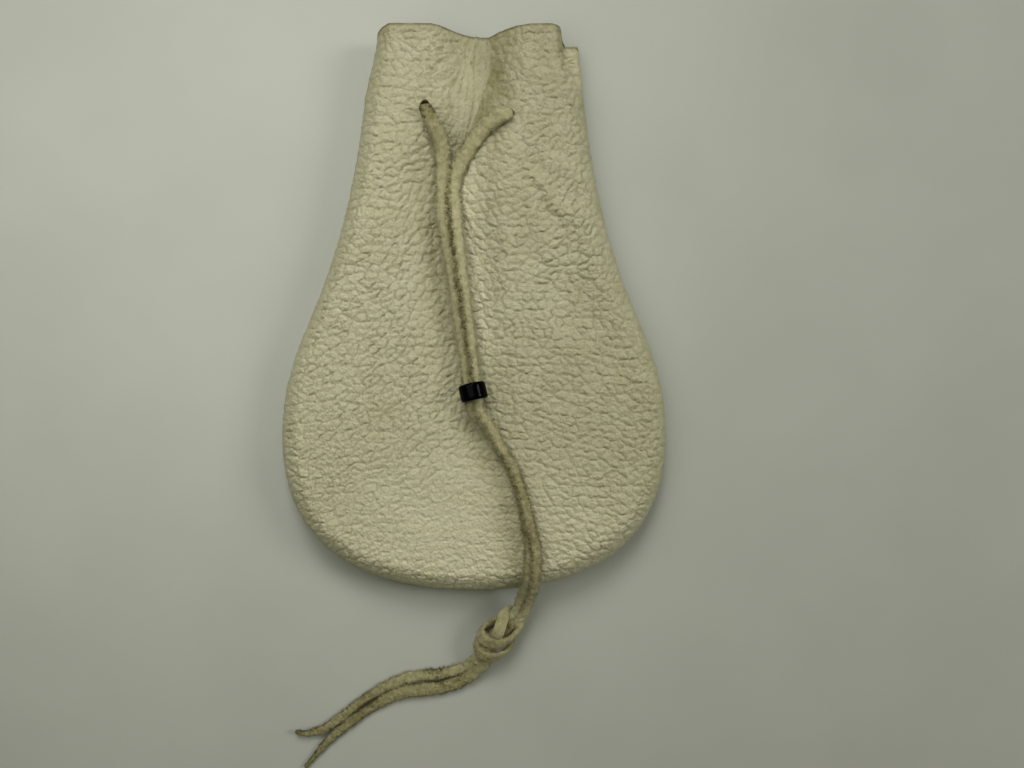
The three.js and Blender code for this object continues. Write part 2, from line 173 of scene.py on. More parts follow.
def blob(x, y, centre, spread):
    """A soft spot that is 1 in its centre and falls away over its spread in x and in y."""
    return np.exp(-(((x - centre[0]) / spread[0]) ** 2 + ((y - centre[1]) / spread[1]) ** 2))


def ripple(turns):
    return np.cos(2 * np.pi * turns)


def round_angles(count):
    return np.arange(count) * 2 * np.pi / count


def unit(vectors):
    return vectors / np.maximum(np.linalg.norm(vectors, axis=-1, keepdims=True), TINY)


def bezier(corners):
    t = np.linspace(0, 1, CURVE_POINTS)[:, None]
    a, b, c, d = (np.array(corner, float) for corner in corners)
    s = 1 - t
    return s**3 * a + 3 * s * s * t * b + 3 * s * t * t * c + t**3 * d


def spline(knots, values, at):
    """A smooth curve through the values, each slope taken from the neighbours on both sides."""
    knots, values = np.asarray(knots, float), np.asarray(values, float)
    at = np.clip(at, knots[0], knots[-1])
    i = np.clip(np.searchsorted(knots, at, side="right") - 1, 0, len(knots) - 2)
    before = np.where(i > 0, i - 1, i + 1)
    after = np.where(i + 2 < len(knots), i + 2, i)
    t0, t1 = knots[i], knots[i + 1]
    half = (t1 - t0) / 2
    wp, wn = half / (t0 - knots[before]), half / (knots[after] - t1)
    p = (at - t0) / (t1 - t0)
    pp, ppp = p * p, p * p * p
    first = -wp * ppp + 2 * wp * pp - wp * p
    second = (1 + wp) * ppp + (-1.5 - 2 * wp) * pp + (-0.5 + wp) * p + 1
    third = (-1 - wn) * ppp + (1.5 + wn) * pp + 0.5 * p
    fourth = wn * ppp - wn * pp
    return first * values[before] + second * values[i] + third * values[i + 1] + fourth * values[after]


def hashed(*keys):
    """A number from 0 to 1 for each set of whole numbers, the same in every run."""
    value = np.zeros(np.broadcast(*keys).shape, np.uint32) + np.uint32(SEED)
    for key, factor in zip(keys, HASH_FACTORS):
        low = (key.astype(np.int64) * factor & 0xFFFFFFFF).astype(np.uint32)
        value = (value ^ low) * HASH_STEP
        value = value ^ (value >> np.uint32(15))
    value = value * HASH_END
    value = value ^ (value >> np.uint32(13))
    return value.astype(float) / 2**32


def noise(points, size, seed=0):
    """Smooth noise from -1 to 1 over points with two or three coordinates."""
    scaled = np.asarray(points, float) / size
    cell = np.floor(scaled).astype(np.int64)
    part = scaled - cell
    part = part * part * part * (part * (part * 6 - 15) + 10)
    total = np.zeros(len(scaled))
    width = scaled.shape[1]
    for corner in range(2**width):
        bits = [(corner >> axis) & 1 for axis in range(width)]
        weight = np.ones(len(scaled))
        for axis, bit in enumerate(bits):
            weight = weight * (part[:, axis] if bit else 1 - part[:, axis])
        keys = [cell[:, axis] + bit for axis, bit in enumerate(bits)]
        total += weight * hashed(*keys, np.full(len(scaled), seed))
    return 2 * total - 1


# Outline and surfaces of the panels

neck_line = bezier(NECK_CURVE)
bottom_line = bezier(BOTTOM_CURVE)
bottom_angle = np.arctan2(bottom_line[:, 1] - BELLY_Y, bottom_line[:, 0])
bottom_radius = np.hypot(bottom_line[:, 0], bottom_line[:, 1] - BELLY_Y)


def half_width(y):
    return np.interp(y, neck_line[:, 1], neck_line[:, 0])


def inset_of(x, y):
    """How far a place lies in from the outline, towards the spine or the belly's pole."""
    angle = np.arctan2(np.minimum(y - BELLY_Y, 0), np.abs(x) + TINY)
    belly = np.interp(angle, bottom_angle, bottom_radius) - np.hypot(x, y - BELLY_Y)
    return np.where(y >= BELLY_Y, half_width(y) - np.abs(x), belly)


def valley_drop(x, y):
    """Depth of the valley: rounded, but near the mouth a flat floor with a sharp crease on its right."""
    middle = spline(VALLEY_Y, VALLEY_X, y)
    depth = spline(VALLEY_Y, VALLEY_DEPTH, y)
    left, right = spline(VALLEY_Y, VALLEY_LEFT, y), spline(VALLEY_Y, VALLEY_RIGHT, y)
    offset = x - middle
    share = np.minimum(np.abs(offset) / np.where(offset < 0, left, right), 1)
    drawn = np.where(offset < 0, (1 - share**3) ** 3, (1 - share) ** CREASE_POWER)
    return depth * mix(hump(share), drawn, smooth(y, *KINK_FADE))


def dent_drop(x, y):
    dx, dy = x - DENT_AT[0], y - DENT_AT[1]
    across = dx * math.sin(DENT_TURN) + dy * math.cos(DENT_TURN)
    along = dx * math.cos(DENT_TURN) - dy * math.sin(DENT_TURN)
    return DENT_DEPTH * hump(across / DENT_WIDTH) * hump(along / DENT_LENGTH)


def kite(x, y):
    """Share across the stretched leather between the holes: -1 on its left side, 1 on its right."""
    return (x - np.interp(y, KITE_Y, KITE_X)) / np.interp(y, KITE_Y, KITE_HALF)


def pleat_rise(x, y):
    """The main pleats of the stretched leather."""
    share = kite(x, y)
    return PLEAT_HEIGHT * ripple(PLEAT_NUMBER * share) * hump(share) * smooth(y, *PLEAT_FADE)


def front_swell(x, y, inset):
    """Height of the dome above the rolled edge."""
    neck = smooth(y, BELLY_Y, MOUTH_Y)
    corner = np.where(x > 0, smooth(y, CORNER_START, CORNER_FULL), 0)
    swell = mix(BELLY_HEIGHT, MOUTH_HEIGHT, neck) - (FRONT_SEAM + FOLD_RADIUS + EDGE_RADIUS)
    width = mix(EDGE_ROLL, CORNER_ROLL, corner)
    roll = np.clip((inset - CORNER_STRIP * corner) / width, 0, 1)
    rise = mix(np.sin(roll * np.pi / 2), np.sqrt(roll * (2 - roll)), corner)
    broad = np.sin(np.clip(inset / BELLY_ROLL, 0, 1) * np.pi / 2)
    rise = mix(rise, broad, BELLY_SHARE * (1 - smooth(y, BELLY_Y, BELLY_ROLL_END)))
    return (swell - valley_drop(x, y) - dent_drop(x, y) + pleat_rise(x, y)) * rise


def tucked(x, y, inset):
    """Where a place lies once the left corner of the mouth is drawn in a little."""
    drawn = CORNER_TUCK * smooth(y, CORNER_START, MOUTH_Y) * (1 - smooth(inset, 0, TUCK_REACH))
    return x + np.where(x < 0, drawn, 0), y


def trimmed(x, y, inset):
    """The same for the front panel, whose right corner is cut lower in a step."""
    high = smooth(y, CORNER_STEP_START, MOUTH_Y)
    step = np.where(x > 0, CORNER_STEP * high * (1 - smooth(inset, *CORNER_STEP_FADE)), 0)
    x, y_tucked = tucked(x, y, inset)
    return x, y_tucked - step


def gathers(x, y):
    """Fine pleats that fan out between the holes, wrinkles above the left hole, lumps and pulls."""
    share = kite(x, y)
    place = np.stack([x, y], 1)
    mask = hump(share) * smooth(y, *KITE_FADE)
    waver = noise(place, *WAVER_NOISE)
    fan = sum(height * ripple(number * share + bend * waver) for height, number, bend in FAN)
    fan = fan * (1 + FAN_UNEVEN * noise(place, *FAN_NOISE))
    across = -x * math.sin(WRINKLE_TURN) + y * math.cos(WRINKLE_TURN)
    patch = hump(np.hypot((x - WRINKLE_AT[0]) / WRINKLE_SPREAD[0], (y - WRINKLE_AT[1]) / WRINKLE_SPREAD[1]))
    folds = WRINKLE_HEIGHT * ripple(across / WRINKLE_PITCH + WRINKLE_WAVER * waver)
    lumps = sum(height * noise(place, size, seed) for height, size, seed in LUMPS)
    dx, dy = x - PULL_FROM[0], y - PULL_FROM[1]
    away, turn = np.hypot(dx, dy), np.degrees(np.arctan2(dy, dx))
    pulls = PULL_HEIGHT * ripple(turn / PULL_PITCH + PULL_WAVER * waver)
    pulls = pulls * hump((turn - PULL_TURN) / PULL_TURN_HALF) * hump((away - PULL_AWAY) / PULL_AWAY_HALF)
    return fan * mask + folds * patch * (1 - mask) + lumps + pulls


def rounded(inset, radius):
    rest = 1 - np.clip(inset / radius, 0, 1)
    return radius * np.sqrt(np.maximum(1 - rest * rest, 0))


def front_outside(x, y, inset):
    level = FRONT_SEAM + FOLD_RADIUS + rounded(inset, EDGE_RADIUS) + front_swell(x, y, inset)
    return level + gathers(x, y) * smooth(inset, *GATHER_FADE)


def front_inside(x, y, inset):
    level = FRONT_SEAM + FOLD_RADIUS + rounded(inset - LEATHER, EDGE_RADIUS - LEATHER)
    return level + front_swell(x, y, inset)


def back_lift(x, y):
    across = 1 - smooth(np.abs(x), *LIFT_ACROSS)
    along = 1 - smooth(np.abs(y - BACK_HOLE_Y), *LIFT_ALONG)
    return BACK_LIFT * across * along


def back_outside(x, y, inset):
    radius = BACK_SEAM - FOLD_RADIUS
    return radius - rounded(inset, radius) + back_lift(x, y)


def back_inside(x, y, inset):
    radius = BACK_SEAM - FOLD_RADIUS
    return radius - rounded(inset - LEATHER, radius - LEATHER) + back_lift(x, y)


# Grain of the leather: size of its pebbles, and the creases' direction in degrees across neck and belly

PEBBLE = 2.95
FINE_PEBBLE = 0.48 * PEBBLE
COARSE_SEED = 11
FINE_SEED = 41
STRETCH = 1.2
FINE_STRETCH = 1.25
PULLED_STRETCH = 0.35
PULLED_AT = (-42, -42)
PULLED_SPREAD = (24, 30)
NECK_SHARES = [-1, -0.65, -0.35, -0.1, 0, 0.1, 0.3, 0.45, 0.75, 1]
NECK_TURNS = [-30, 3, 32, 55, 90, 135, 155, 183, 206, 222]
BELLY_SHARES = [-1, -0.7, -0.3, -0.05, 0.1, 0.4, 0.7, 1]
BELLY_TURNS = [10, 30, 32, 28, -8, -8, -18, -10]
VALLEY_GRAIN_FADE = (-20, 10)
NECK_GRAIN_FADE = (-8, 28)
WARP = 0.16
WARP_SIZE = 0.75
JITTER = 0.8
CELL_KEY = 100003
TONE_KEY = 3
SHALLOWEST = 0.5
ALONG_DEPTH = 0.62

# Section of a pebble: half widths as shares of it, powers of the slopes, and shares of the grain's depth
GROOVE_HALF = 0.2
GROOVE_POWER = 2
DOME_HALF = 0.5
FINE_HALF = 0.45
DOME_POWER = 1.8
DOME_SHARE = 0.85
FINE_DEPTH = 0.42
LIFT = 0.2
FINE_LIFT = 0.1

# Painted shade: dark lines in the creases
CREASE_SHADE_HALF = 0.6
FINE_CREASE_SHADE_HALF = 0.5
FINE_CREASE_SHADE = 0.5
CREASE_SHADE_POWER = 1.6


def grain_turn(x, y):
    """Direction that the creases run in: arcs over both lobes, standing up along the valley."""
    width = np.where(y > BELLY_Y, half_width(np.maximum(y, BELLY_Y)), BELLY_HALF_WIDTH)
    middle = spline(VALLEY_Y, VALLEY_X, y) * smooth(y, *VALLEY_GRAIN_FADE)
    share = np.clip((x - middle) / width, -1, 1)
    neck = np.radians(np.interp(share, NECK_SHARES, NECK_TURNS)) * 2
    belly = np.radians(np.interp(share, BELLY_SHARES, BELLY_TURNS)) * 2
    part = smooth(y, *NECK_GRAIN_FADE)
    return np.arctan2(mix(np.sin(belly), np.sin(neck), part), mix(np.cos(belly), np.cos(neck), part)) / 2


def pebbles(x, y, spacing, stretch, seed):
    """Distance to the nearest crease, how deep it is, the pebble's tone, and the way to the crease."""
    turn = grain_turn(x, y)
    warp = np.stack([x, y], 1)
    x = x + WARP * spacing * noise(warp, spacing * WARP_SIZE, seed + 1)
    y = y + WARP * spacing * noise(warp, spacing * WARP_SIZE, seed + 2)
    column, row = np.floor(x / spacing).astype(np.int64), np.floor(y / spacing).astype(np.int64)
    cos, sin = np.cos(turn), np.sin(turn)
    best = np.full((2, len(x)), FAR)
    place = np.zeros((2, 2, len(x)))
    owner = np.zeros((2, len(x)), np.int64)
    for across in range(-2, 3):
        for along in range(-2, 3):
            i, j = column + across, row + along
            shift = 0.5 * (j % 2)
            sx = (i + shift + 0.5 + JITTER * (hashed(i, j, np.full_like(i, seed)) - 0.5)) * spacing - x
            sy = (j + 0.5 + JITTER * (hashed(i, j, np.full_like(i, seed + 7)) - 0.5)) * spacing - y
            u, v = (sx * cos + sy * sin) / stretch, (-sx * sin + sy * cos) * stretch
            away = u * u + v * v
            nearer, second = away < best[0], (away >= best[0]) & (away < best[1])
            for kept, new in ((best, away), (owner, i * CELL_KEY + j), (place, (u, v))):
                kept[1] = np.where(nearer, kept[0], np.where(second, new, kept[1]))
                kept[0] = np.where(nearer, new, kept[0])
    between = place[1] - place[0]
    apart = np.hypot(*between) + TINY
    distance = (best[1] - best[0]) / (2 * apart)
    crossing = np.abs(between[1]) / apart
    chance = hashed(owner.min(0), owner.max(0))
    deep = mix(SHALLOWEST, 1, chance) * mix(ALONG_DEPTH, 1, crossing)
    u, v = between / apart * distance
    u, v = u * stretch, v / stretch
    way = np.stack([u * cos - v * sin, u * sin + v * cos], 1)
    return distance, deep, hashed(owner[0], np.full_like(owner[0], TONE_KEY)), way


def coarse_pebbles(x, y):
    """The main pebbles, longer on the left of the belly, where the leather is pulled."""
    stretch = STRETCH + PULLED_STRETCH * blob(x, y, PULLED_AT, PULLED_SPREAD)
    return pebbles(x, y, PEBBLE, stretch, COARSE_SEED)


def fine_pebbles(x, y):
    return pebbles(x, y, FINE_PEBBLE, FINE_STRETCH, FINE_SEED)


def settled(points, reach):
    """Points of a lattice, moved on to the creases that run close by them."""
    way, way_fine = coarse_pebbles(*points.T)[3], fine_pebbles(*points.T)[3]
    coarse = np.hypot(*way.T) < reach
    fine = ~coarse & (np.hypot(*way_fine.T) < SETTLE_FINE * reach)
    moved = points + way * coarse[:, None] + way_fine * fine[:, None]
    cell = np.round(moved / (SETTLE_APART * reach)).astype(np.int64)
    _, first = np.unique(cell, axis=0, return_index=True)
    return moved[np.sort(first)]


def slope(away, reach, power):
    """1 on a crease, falling to 0 at its reach."""
    return (1 - np.clip(away / reach, 0, 1)) ** power


def relief(x, y, depth):
    """Height of the grain, 0 on top of a pebble, and how far a place lies down in a crease, which sets the
    painted shade there.
    """
    e1, deep1, tone, _ = coarse_pebbles(x, y)
    e2, deep2, tone2, _ = fine_pebbles(x, y)
    groove = slope(e1, GROOVE_HALF * PEBBLE, GROOVE_POWER)
    first = deep1 * mix(groove, slope(e1, DOME_HALF * PEBBLE, DOME_POWER), DOME_SHARE)
    second = deep2 * slope(e2, FINE_HALF * FINE_PEBBLE, DOME_POWER)
    line = deep1 * slope(e1, CREASE_SHADE_HALF, CREASE_SHADE_POWER)
    line = np.maximum(line, FINE_CREASE_SHADE * deep2 * slope(e2, FINE_CREASE_SHADE_HALF, CREASE_SHADE_POWER))
    lift = LIFT * (tone - 0.5) + FINE_LIFT * (tone2 - 0.5)
    return depth * (lift - first - FINE_DEPTH * second), line


# Meshes

EDGE_ROWS = (0.08, 0.3, 0.7, 1.25)
MOUTH_CLEAR = 0.3
LATTICE_MARGIN = 1.75
BODY_MARGIN = 1.3
ROW_STEP = 0.866
ROW_CLEAR = 0.6
HOLE_CLEAR = 0.6
HOLE_SHARE = 0.98
SLOPE_STEP = 0.1
SETTLE_REACH = 0.5
SETTLE_FINE = 0.6
SETTLE_APART = 0.7
MERGE_DISTANCE = 1e-7
MOUTH_MARGIN = 1e-6
INSIDE_SPACING = 2.6
INSIDE_MARGIN = LEATHER + 1.6
GROW_FADE = (4, 20)
OUTSIDE, INSIDE, CUT = range(3)


def run_of(points):
    """How far along a line each of its points lies."""
    return np.concatenate([[0], np.cumsum(np.hypot(*np.diff(points, axis=0).T))])


def places_at(at, run, points):
    return np.stack([np.interp(at, run, column) for column in points.T], 1)


def outline(step, mouth_y, grow=None):
    """Points from the left of the mouth, round the bottom, to its right, and their inward normals."""
    right = np.concatenate([bottom_line, neck_line[1:]])
    right = right[right[:, 1] < mouth_y - MOUTH_MARGIN]
    right = np.concatenate([right, [(half_width(mouth_y), mouth_y)]])
    run = run_of(right)
    at = np.linspace(0, run[-1], int(run[-1] / step) + 1)
    right = places_at(at, run, right)
    left = right[:0:-1] * [-1, 1]
    points = np.concatenate([left, right])
    tangent = np.gradient(points, axis=0)
    tangent /= np.linalg.norm(tangent, axis=1)[:, None]
    inward = np.stack([-tangent[:, 1], tangent[:, 0]], 1)
    if grow is not None:
        points = points - inward * grow(points)[:, None] * smooth(mouth_y - points[:, 1], *GROW_FADE)[:, None]
    return points, inward


def ring(centre):
    angle = round_angles(HOLE_SIDES)
    return np.stack([centre[0] + HOLE_RADIUS * np.cos(angle), centre[1] + HOLE_RADIUS * np.sin(angle)], 1)


def within(points, loop):
    """Whether each point lies inside the loop, by counting the sides that it has to its right."""
    start, end = loop, np.roll(loop, -1, axis=0)
    x, y = points[:, :1], points[:, 1:]
    spans = (start[:, 1] > y) != (end[:, 1] > y)
    rise = np.where(end[:, 1] == start[:, 1], TINY, end[:, 1] - start[:, 1])
    crossing = start[:, 0] + (y - start[:, 1]) * (end[:, 0] - start[:, 0]) / rise
    return (spans & (crossing > x)).sum(1) % 2 == 1


def triangulated(loop, holes, inner):
    """Triangles over the loop, with the holes left open, through all the inner points."""
    loops = [loop, *holes]
    edges = []
    start = 0
    for part in loops:
        count = len(part)
        edges += [(start + k, start + (k + 1) % count) for k in range(count)]
        start += count
    points = np.concatenate([*loops, inner])
    made = geometry.delaunay_2d_cdt([Vector(p) for p in points], edges, [], 1, MERGE_DISTANCE, True)
    source = [ids[0] for ids in made[3]]
    faces = np.array([[source[v] for v in face] for face in made[2]])
    middle = points[faces].mean(1)
    keep = np.ones(len(faces), bool)
    rim = (faces < len(loop)).all(1)
    keep[rim] = within(middle[rim], loop)
    for hole in holes:
        centre = hole.mean(0)
        keep &= np.hypot(*(middle - centre).T) > np.hypot(*(hole[0] - centre)) * HOLE_SHARE
    return points, faces[keep]


def lattice(spacing, mouth_y, margin, holes):
    """Places in even rows over a panel, clear of its edge by the margin and clear of its holes."""
    rows = np.arange(BOTTOM_Y, mouth_y - ROW_CLEAR * spacing, spacing * ROW_STEP)
    columns = np.arange(-BELLY_HALF_WIDTH - 2, BELLY_HALF_WIDTH + 2, spacing)
    x = (columns[None, :] + (np.arange(len(rows)) % 2)[:, None] * spacing / 2).ravel()
    y = np.repeat(rows, len(columns))
    inset = inset_of(x, y)
    steep = np.hypot(inset_of(x + SLOPE_STEP, y) - inset, inset_of(x, y + SLOPE_STEP) - inset) / SLOPE_STEP
    keep = inset / np.maximum(steep, 1) > margin
    for hole in holes:
        keep &= np.hypot(x - hole[0], y - hole[1]) > HOLE_RADIUS + HOLE_CLEAR * spacing
    return np.stack([x[keep], y[keep]], 1)


def object_of(name, points, faces, materials, kinds=None):
    mesh = bpy.data.meshes.new(name)
    mesh.from_pydata((np.asarray(points) * MM).tolist(), [], faces)
    for material in materials:
        mesh.materials.append(material)
    if kinds is not None:
        mesh.polygons.foreach_set("material_index", np.asarray(kinds, np.int32))
    work = bmesh.new()
    work.from_mesh(mesh)
    bmesh.ops.recalc_face_normals(work, faces=work.faces)
    work.to_mesh(mesh)
    work.free()
    mesh.polygons.foreach_set("use_smooth", np.ones(len(mesh.polygons), bool))
    made = bpy.data.objects.new(name, mesh)
    bpy.context.scene.collection.objects.link(made)
    return made


def dress(piece, body, node):
    """Says which body a piece rides on and which node it stands for, whose solid it hides."""
    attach(piece, body)
    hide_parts(node)


def write_attribute(made, name, values):
    """Values for a mesh's first points, and 0 for the rest."""
    full = np.zeros(len(made.data.vertices), np.float32)
    full[: len(values)] = values
    made.data.attributes.new(name, "FLOAT", "POINT").data.foreach_set("value", full)


def vertex_values(mesh, key):
    values = np.zeros(len(mesh.vertices) * 3)
    mesh.vertices.foreach_get(key, values)
    return values.reshape(-1, 3)


def strip_faces(above, below):
    """Four-sided faces between two rows of corners of equal length."""
    return [(above[k], below[k], below[k + 1], above[k + 1]) for k in range(len(above) - 1)]


def tube_faces(rows, sides, closed, base=0):
    """Four-sided faces round a tube, and from its last row to its first where it is closed."""
    faces = []
    for row in range(rows if closed else rows - 1):
        here, there = base + row * sides, base + (row + 1) % rows * sides
        for k in range(sides):
            after = (k + 1) % sides
            faces.append((here + k, here + after, there + after, there + k))
    return faces


def panel(name, mouth_y, seam, turn, outside, inside, trim, holes, step, spacing, grow=None):
    """A closed sheet of leather: the domed outside and inside, the turned allowance, and the cut edges."""
    edge, inward = outline(step, mouth_y, grow)
    count = len(edge)
    mouth = np.linspace(edge[-1, 0], edge[0, 0], int(2 * edge[-1, 0] / spacing) + 1)[1:-1]
    mouth = np.stack([mouth, np.full(len(mouth), mouth_y)], 1)
    span = count + len(mouth)
    rows = [edge[2:-2] + inward[2:-2] * inset for inset in EDGE_ROWS]
    rows = [row[row[:, 1] < mouth_y - MOUTH_CLEAR] for row in rows]
    body = settled(lattice(spacing, mouth_y, LATTICE_MARGIN, holes), SETTLE_REACH * spacing)
    body = body[(inset_of(*body.T) > BODY_MARGIN) & (body[:, 1] < mouth_y - MOUTH_CLEAR)]
    cuts = [ring(hole) for hole in holes]
    top, top_faces = triangulated(np.concatenate([edge, mouth]), cuts, np.concatenate([*rows, body]))
    inset = inset_of(*top.T)
    inset[:count] = 0
    inset = np.maximum(inset, 0)
    points = [np.column_stack([*trim(*top.T, inset), outside(*top.T, inset)])]
    faces = top_faces.tolist()
    kinds = [OUTSIDE] * len(faces)
    total = len(top)

    def add(new):
        nonlocal total
        points.append(new)
        total += len(new)
        return list(range(total - len(new), total))

    centre = seam + turn * FOLD_RADIUS
    fold = [math.radians(angle) for angle in FOLD_ANGLES]
    flange = [FOLD_RADIUS + share * ALLOWANCE for share in ALLOWANCE_SHARES]

    def turned(radius, first):
        lines = [first]
        rows = [(FOLD_RADIUS - radius * math.sin(angle), radius * math.cos(angle)) for angle in fold]
        for reach, drop in rows + [(reach, radius) for reach in flange]:
            at = edge + inward * reach
            at = np.stack(trim(*at.T, np.full(count, reach)), 1)
            lines.append(add(np.column_stack([at, np.full(count, centre - turn * drop)])))
        return lines

    outer_lines = turned(FOLD_RADIUS, list(range(count)))
    for above, below in zip(outer_lines, outer_lines[1:]):
        faces += strip_faces(above, below)
    kinds += [OUTSIDE] * (len(faces) - len(kinds))

    low_edge = edge + inward * LEATHER
    low_mouth = mouth * [low_edge[-1, 0] / edge[-1, 0], 1]
    low_edge[[0, -1], 1] = mouth_y
    low_body = lattice(INSIDE_SPACING, mouth_y - 1, INSIDE_MARGIN, holes)
    low, low_faces = triangulated(np.concatenate([low_edge, low_mouth]), cuts, low_body)
    inset = inset_of(*low.T)
    inset[:count] = LEATHER
    inset = np.maximum(inset, LEATHER)
    base = total
    add(np.column_stack([*trim(*low.T, inset), inside(*low.T, inset)]))
    faces += (low_faces[:, ::-1] + base).tolist()
    inner_lines = turned(FOLD_RADIUS - LEATHER, list(range(base, base + count)))
    for above, below in zip(inner_lines, inner_lines[1:]):
        faces += strip_faces(below, above)
    kinds += [INSIDE] * (len(faces) - len(kinds))

    def rim_of(lines, start):
        right = [line[-1] for line in lines[-2::-1]]
        left = [line[0] for line in lines]
        return lines[-1] + right + list(range(start + count, start + span)) + left

    faces += strip_faces(rim_of(outer_lines, 0), rim_of(inner_lines, base))
    for k in range(len(holes)):
        first = span + HOLE_SIDES * k
        wall = [*range(first, first + HOLE_SIDES), first]
        faces += strip_faces([corner + base for corner in wall], wall)
    kinds += [CUT] * (len(faces) - len(kinds))
    return object_of(name, np.concatenate(points), faces, panel_materials, kinds), top


def raise_grain(made, top, depth, calm):
    """Moves the outside along its normals by the grain, and keeps where the creases are, for the painted
    shade in them.
    """
    mesh = made.data
    place, normal = vertex_values(mesh, "co"), vertex_values(mesh, "normal")
    height, down = relief(*top.T, depth)
    keep = calm(*top.T)
    count = len(top)
    place[:count] += normal[:count] * (height * keep * MM)[:, None]
    mesh.vertices.foreach_set("co", place.ravel())
    write_attribute(made, "crease", down * keep)
    mesh.update()


# Materials

def srgb(red, green, blue):
    def linear(value):
        value /= 255
        return value / 12.92 if value <= 0.04045 else ((value + 0.055) / 1.055) ** 2.4
    return (linear(red), linear(green), linear(blue), 1)


class Nodes:
    """Small helper that adds shader nodes and links them."""

    def __init__(self, name):
        self.material = bpy.data.materials.new(name)
        self.material.use_nodes = True
        self.tree = self.material.node_tree
        self.shader = self.tree.nodes["Principled BSDF"]

    def set(self, socket, value):
        if isinstance(value, bpy.types.NodeSocket):
            self.tree.links.new(value, socket)
        else:
            socket.default_value = value

    def node(self, kind, settings=None, **inputs):
        made = self.tree.nodes.new(kind)
        for key, value in (settings or {}).items():
            setattr(made, key, value)
        for key, value in inputs.items():
            self.set(made.inputs[key.replace("_", " ")], value)
        return made

    def attribute(self, name):
        return self.node("ShaderNodeAttribute", {"attribute_name": name}).outputs["Fac"]

    def texture(self, kind, size, **inputs):
        place = self.node("ShaderNodeTexCoord").outputs["Object"]
        return self.node(kind, Vector=place, Scale=1 / (size * MM), **inputs)

    def noise(self, size, detail=3.0, rough=0.55):
        return self.texture("ShaderNodeTexNoise", size, Detail=detail, Roughness=rough).outputs["Fac"]

    def cells(self, size):
        return self.texture("ShaderNodeTexVoronoi", size).outputs["Distance"]

    def ramp(self, value, low, high, start=0.0, end=1.0):
        made = self.node("ShaderNodeMapRange", {"interpolation_type": "SMOOTHSTEP"}, Value=value)
        for key, number in (("From Min", low), ("From Max", high), ("To Min", start), ("To Max", end)):
            self.set(made.inputs[key], number)
        return made.outputs["Result"]

    def times(self, first, second):
        made = self.node("ShaderNodeMath", {"operation": "MULTIPLY"})
        self.set(made.inputs[0], first)
        self.set(made.inputs[1], second)
        return made.outputs[0]

    def blend(self, share, first, second):
        made = self.node("ShaderNodeMix", {"data_type": "RGBA"}, Factor=share, A=first, B=second)
        return made.outputs["Result"]

    def bump(self, height, distance, strength, below=None):
        made = self.node("ShaderNodeBump", Height=height, Distance=distance * MM, Strength=strength)
        if below is not None:
            self.set(made.inputs["Normal"], below)
        return made.outputs["Normal"]

    def finish(self, colour, rough, normal, **inputs):
        for key, value in dict(Base_Color=colour, Roughness=rough, Normal=normal, **inputs).items():
            self.set(self.shader.inputs[key.replace("_", " ")], value)
        return self.material


def grain_leather():
    made = Nodes("grain_leather")
    mottle = made.noise(6, 4.0)
    colour = made.blend(made.ramp(made.noise(38, 2.0), 0.35, 0.65), srgb(166, 163, 132), srgb(160, 156, 123))
    # painted light: paler colour at the belly's lower end, and lifting the shadows on the right corner's
    # strip and right of the lace
    colour = made.blend(made.attribute("painted_light"), colour, srgb(190, 186, 153))
    colour = made.blend(made.ramp(mottle, 0.4, 0.75, 0, 0.4), colour, srgb(178, 176, 149))
    # painted shade: the creases are darkened in colour
    colour = made.blend(made.ramp(made.attribute("crease"), 0.1, 0.8, 0, 0.42), colour, srgb(108, 102, 66))
    # yellow stains, and painted shade on the flank right of the crease, round the holes and beside the lace
    stain_and_shade = made.times(made.attribute("soil_and_shade"), made.ramp(made.noise(5, 4.0), 0.3, 0.7, 0.45, 1.0))
    colour = made.blend(stain_and_shade, colour, srgb(124, 119, 80))
    colour = made.blend(made.attribute("rim"), colour, srgb(86, 79, 46))
    fine = made.bump(made.noise(0.45, 4.0), 0.2, 0.8)
    pores = made.bump(made.times(made.cells(0.95), -1.0), 0.3, 0.8, fine)
    rough = made.ramp(mottle, 0.3, 0.7, 0.52, 0.66)
    return made.finish(colour, rough, pores, Specular_IOR_Level=0.35)


def suede():
    made = Nodes("suede")
    # the dirt attribute carries real dirt, and painted shade in the groove between the doubled strands, at
    # the left strand's hole and in the knot's crevices
    dirt_and_shade, pale = made.attribute("dirt_and_shade"), made.attribute("pale")
    patch = made.noise(1.6, 4.0, rough=0.65)
    colour = made.blend(made.ramp(made.noise(7, 3.0), 0.35, 0.65), srgb(156, 151, 113), srgb(143, 138, 98))
    # pale suede; near the knot the pale is painted light that lifts the pouch's shadow on the lace
    colour = made.blend(pale, colour, srgb(177, 173, 134))
    mottle = made.times(made.ramp(patch, 0.42, 0.7, 0, 0.6), made.ramp(pale, 0, 1, 1, 0.35))
    colour = made.blend(mottle, colour, srgb(116, 110, 60))
    colour = made.blend(made.ramp(made.noise(0.7, 2.0), 0.54, 0.68, 0, 0.55), colour, srgb(178, 174, 134))
    brown = made.times(dirt_and_shade, made.ramp(patch, 0.3, 0.6, 0.3, 0.9))
    colour = made.blend(brown, colour, srgb(101, 95, 45))
    speck = made.ramp(made.noise(0.9, 2.0), 0.54, 0.62)
    speck = made.times(speck, made.ramp(dirt_and_shade, 0.3, 0.9, 0.05, 0.85))
    colour = made.blend(speck, colour, srgb(62, 49, 20))
    colour = made.blend(made.ramp(dirt_and_shade, 0.95, 1.3, 0, 0.8), colour, srgb(66, 57, 30))
    nap = made.bump(made.noise(0.6, 5.0, rough=0.75), 0.45, 0.9)
    return made.finish(colour, 0.95, nap, Specular_IOR_Level=0.1, Sheen_Weight=0.15, Sheen_Roughness=0.6)


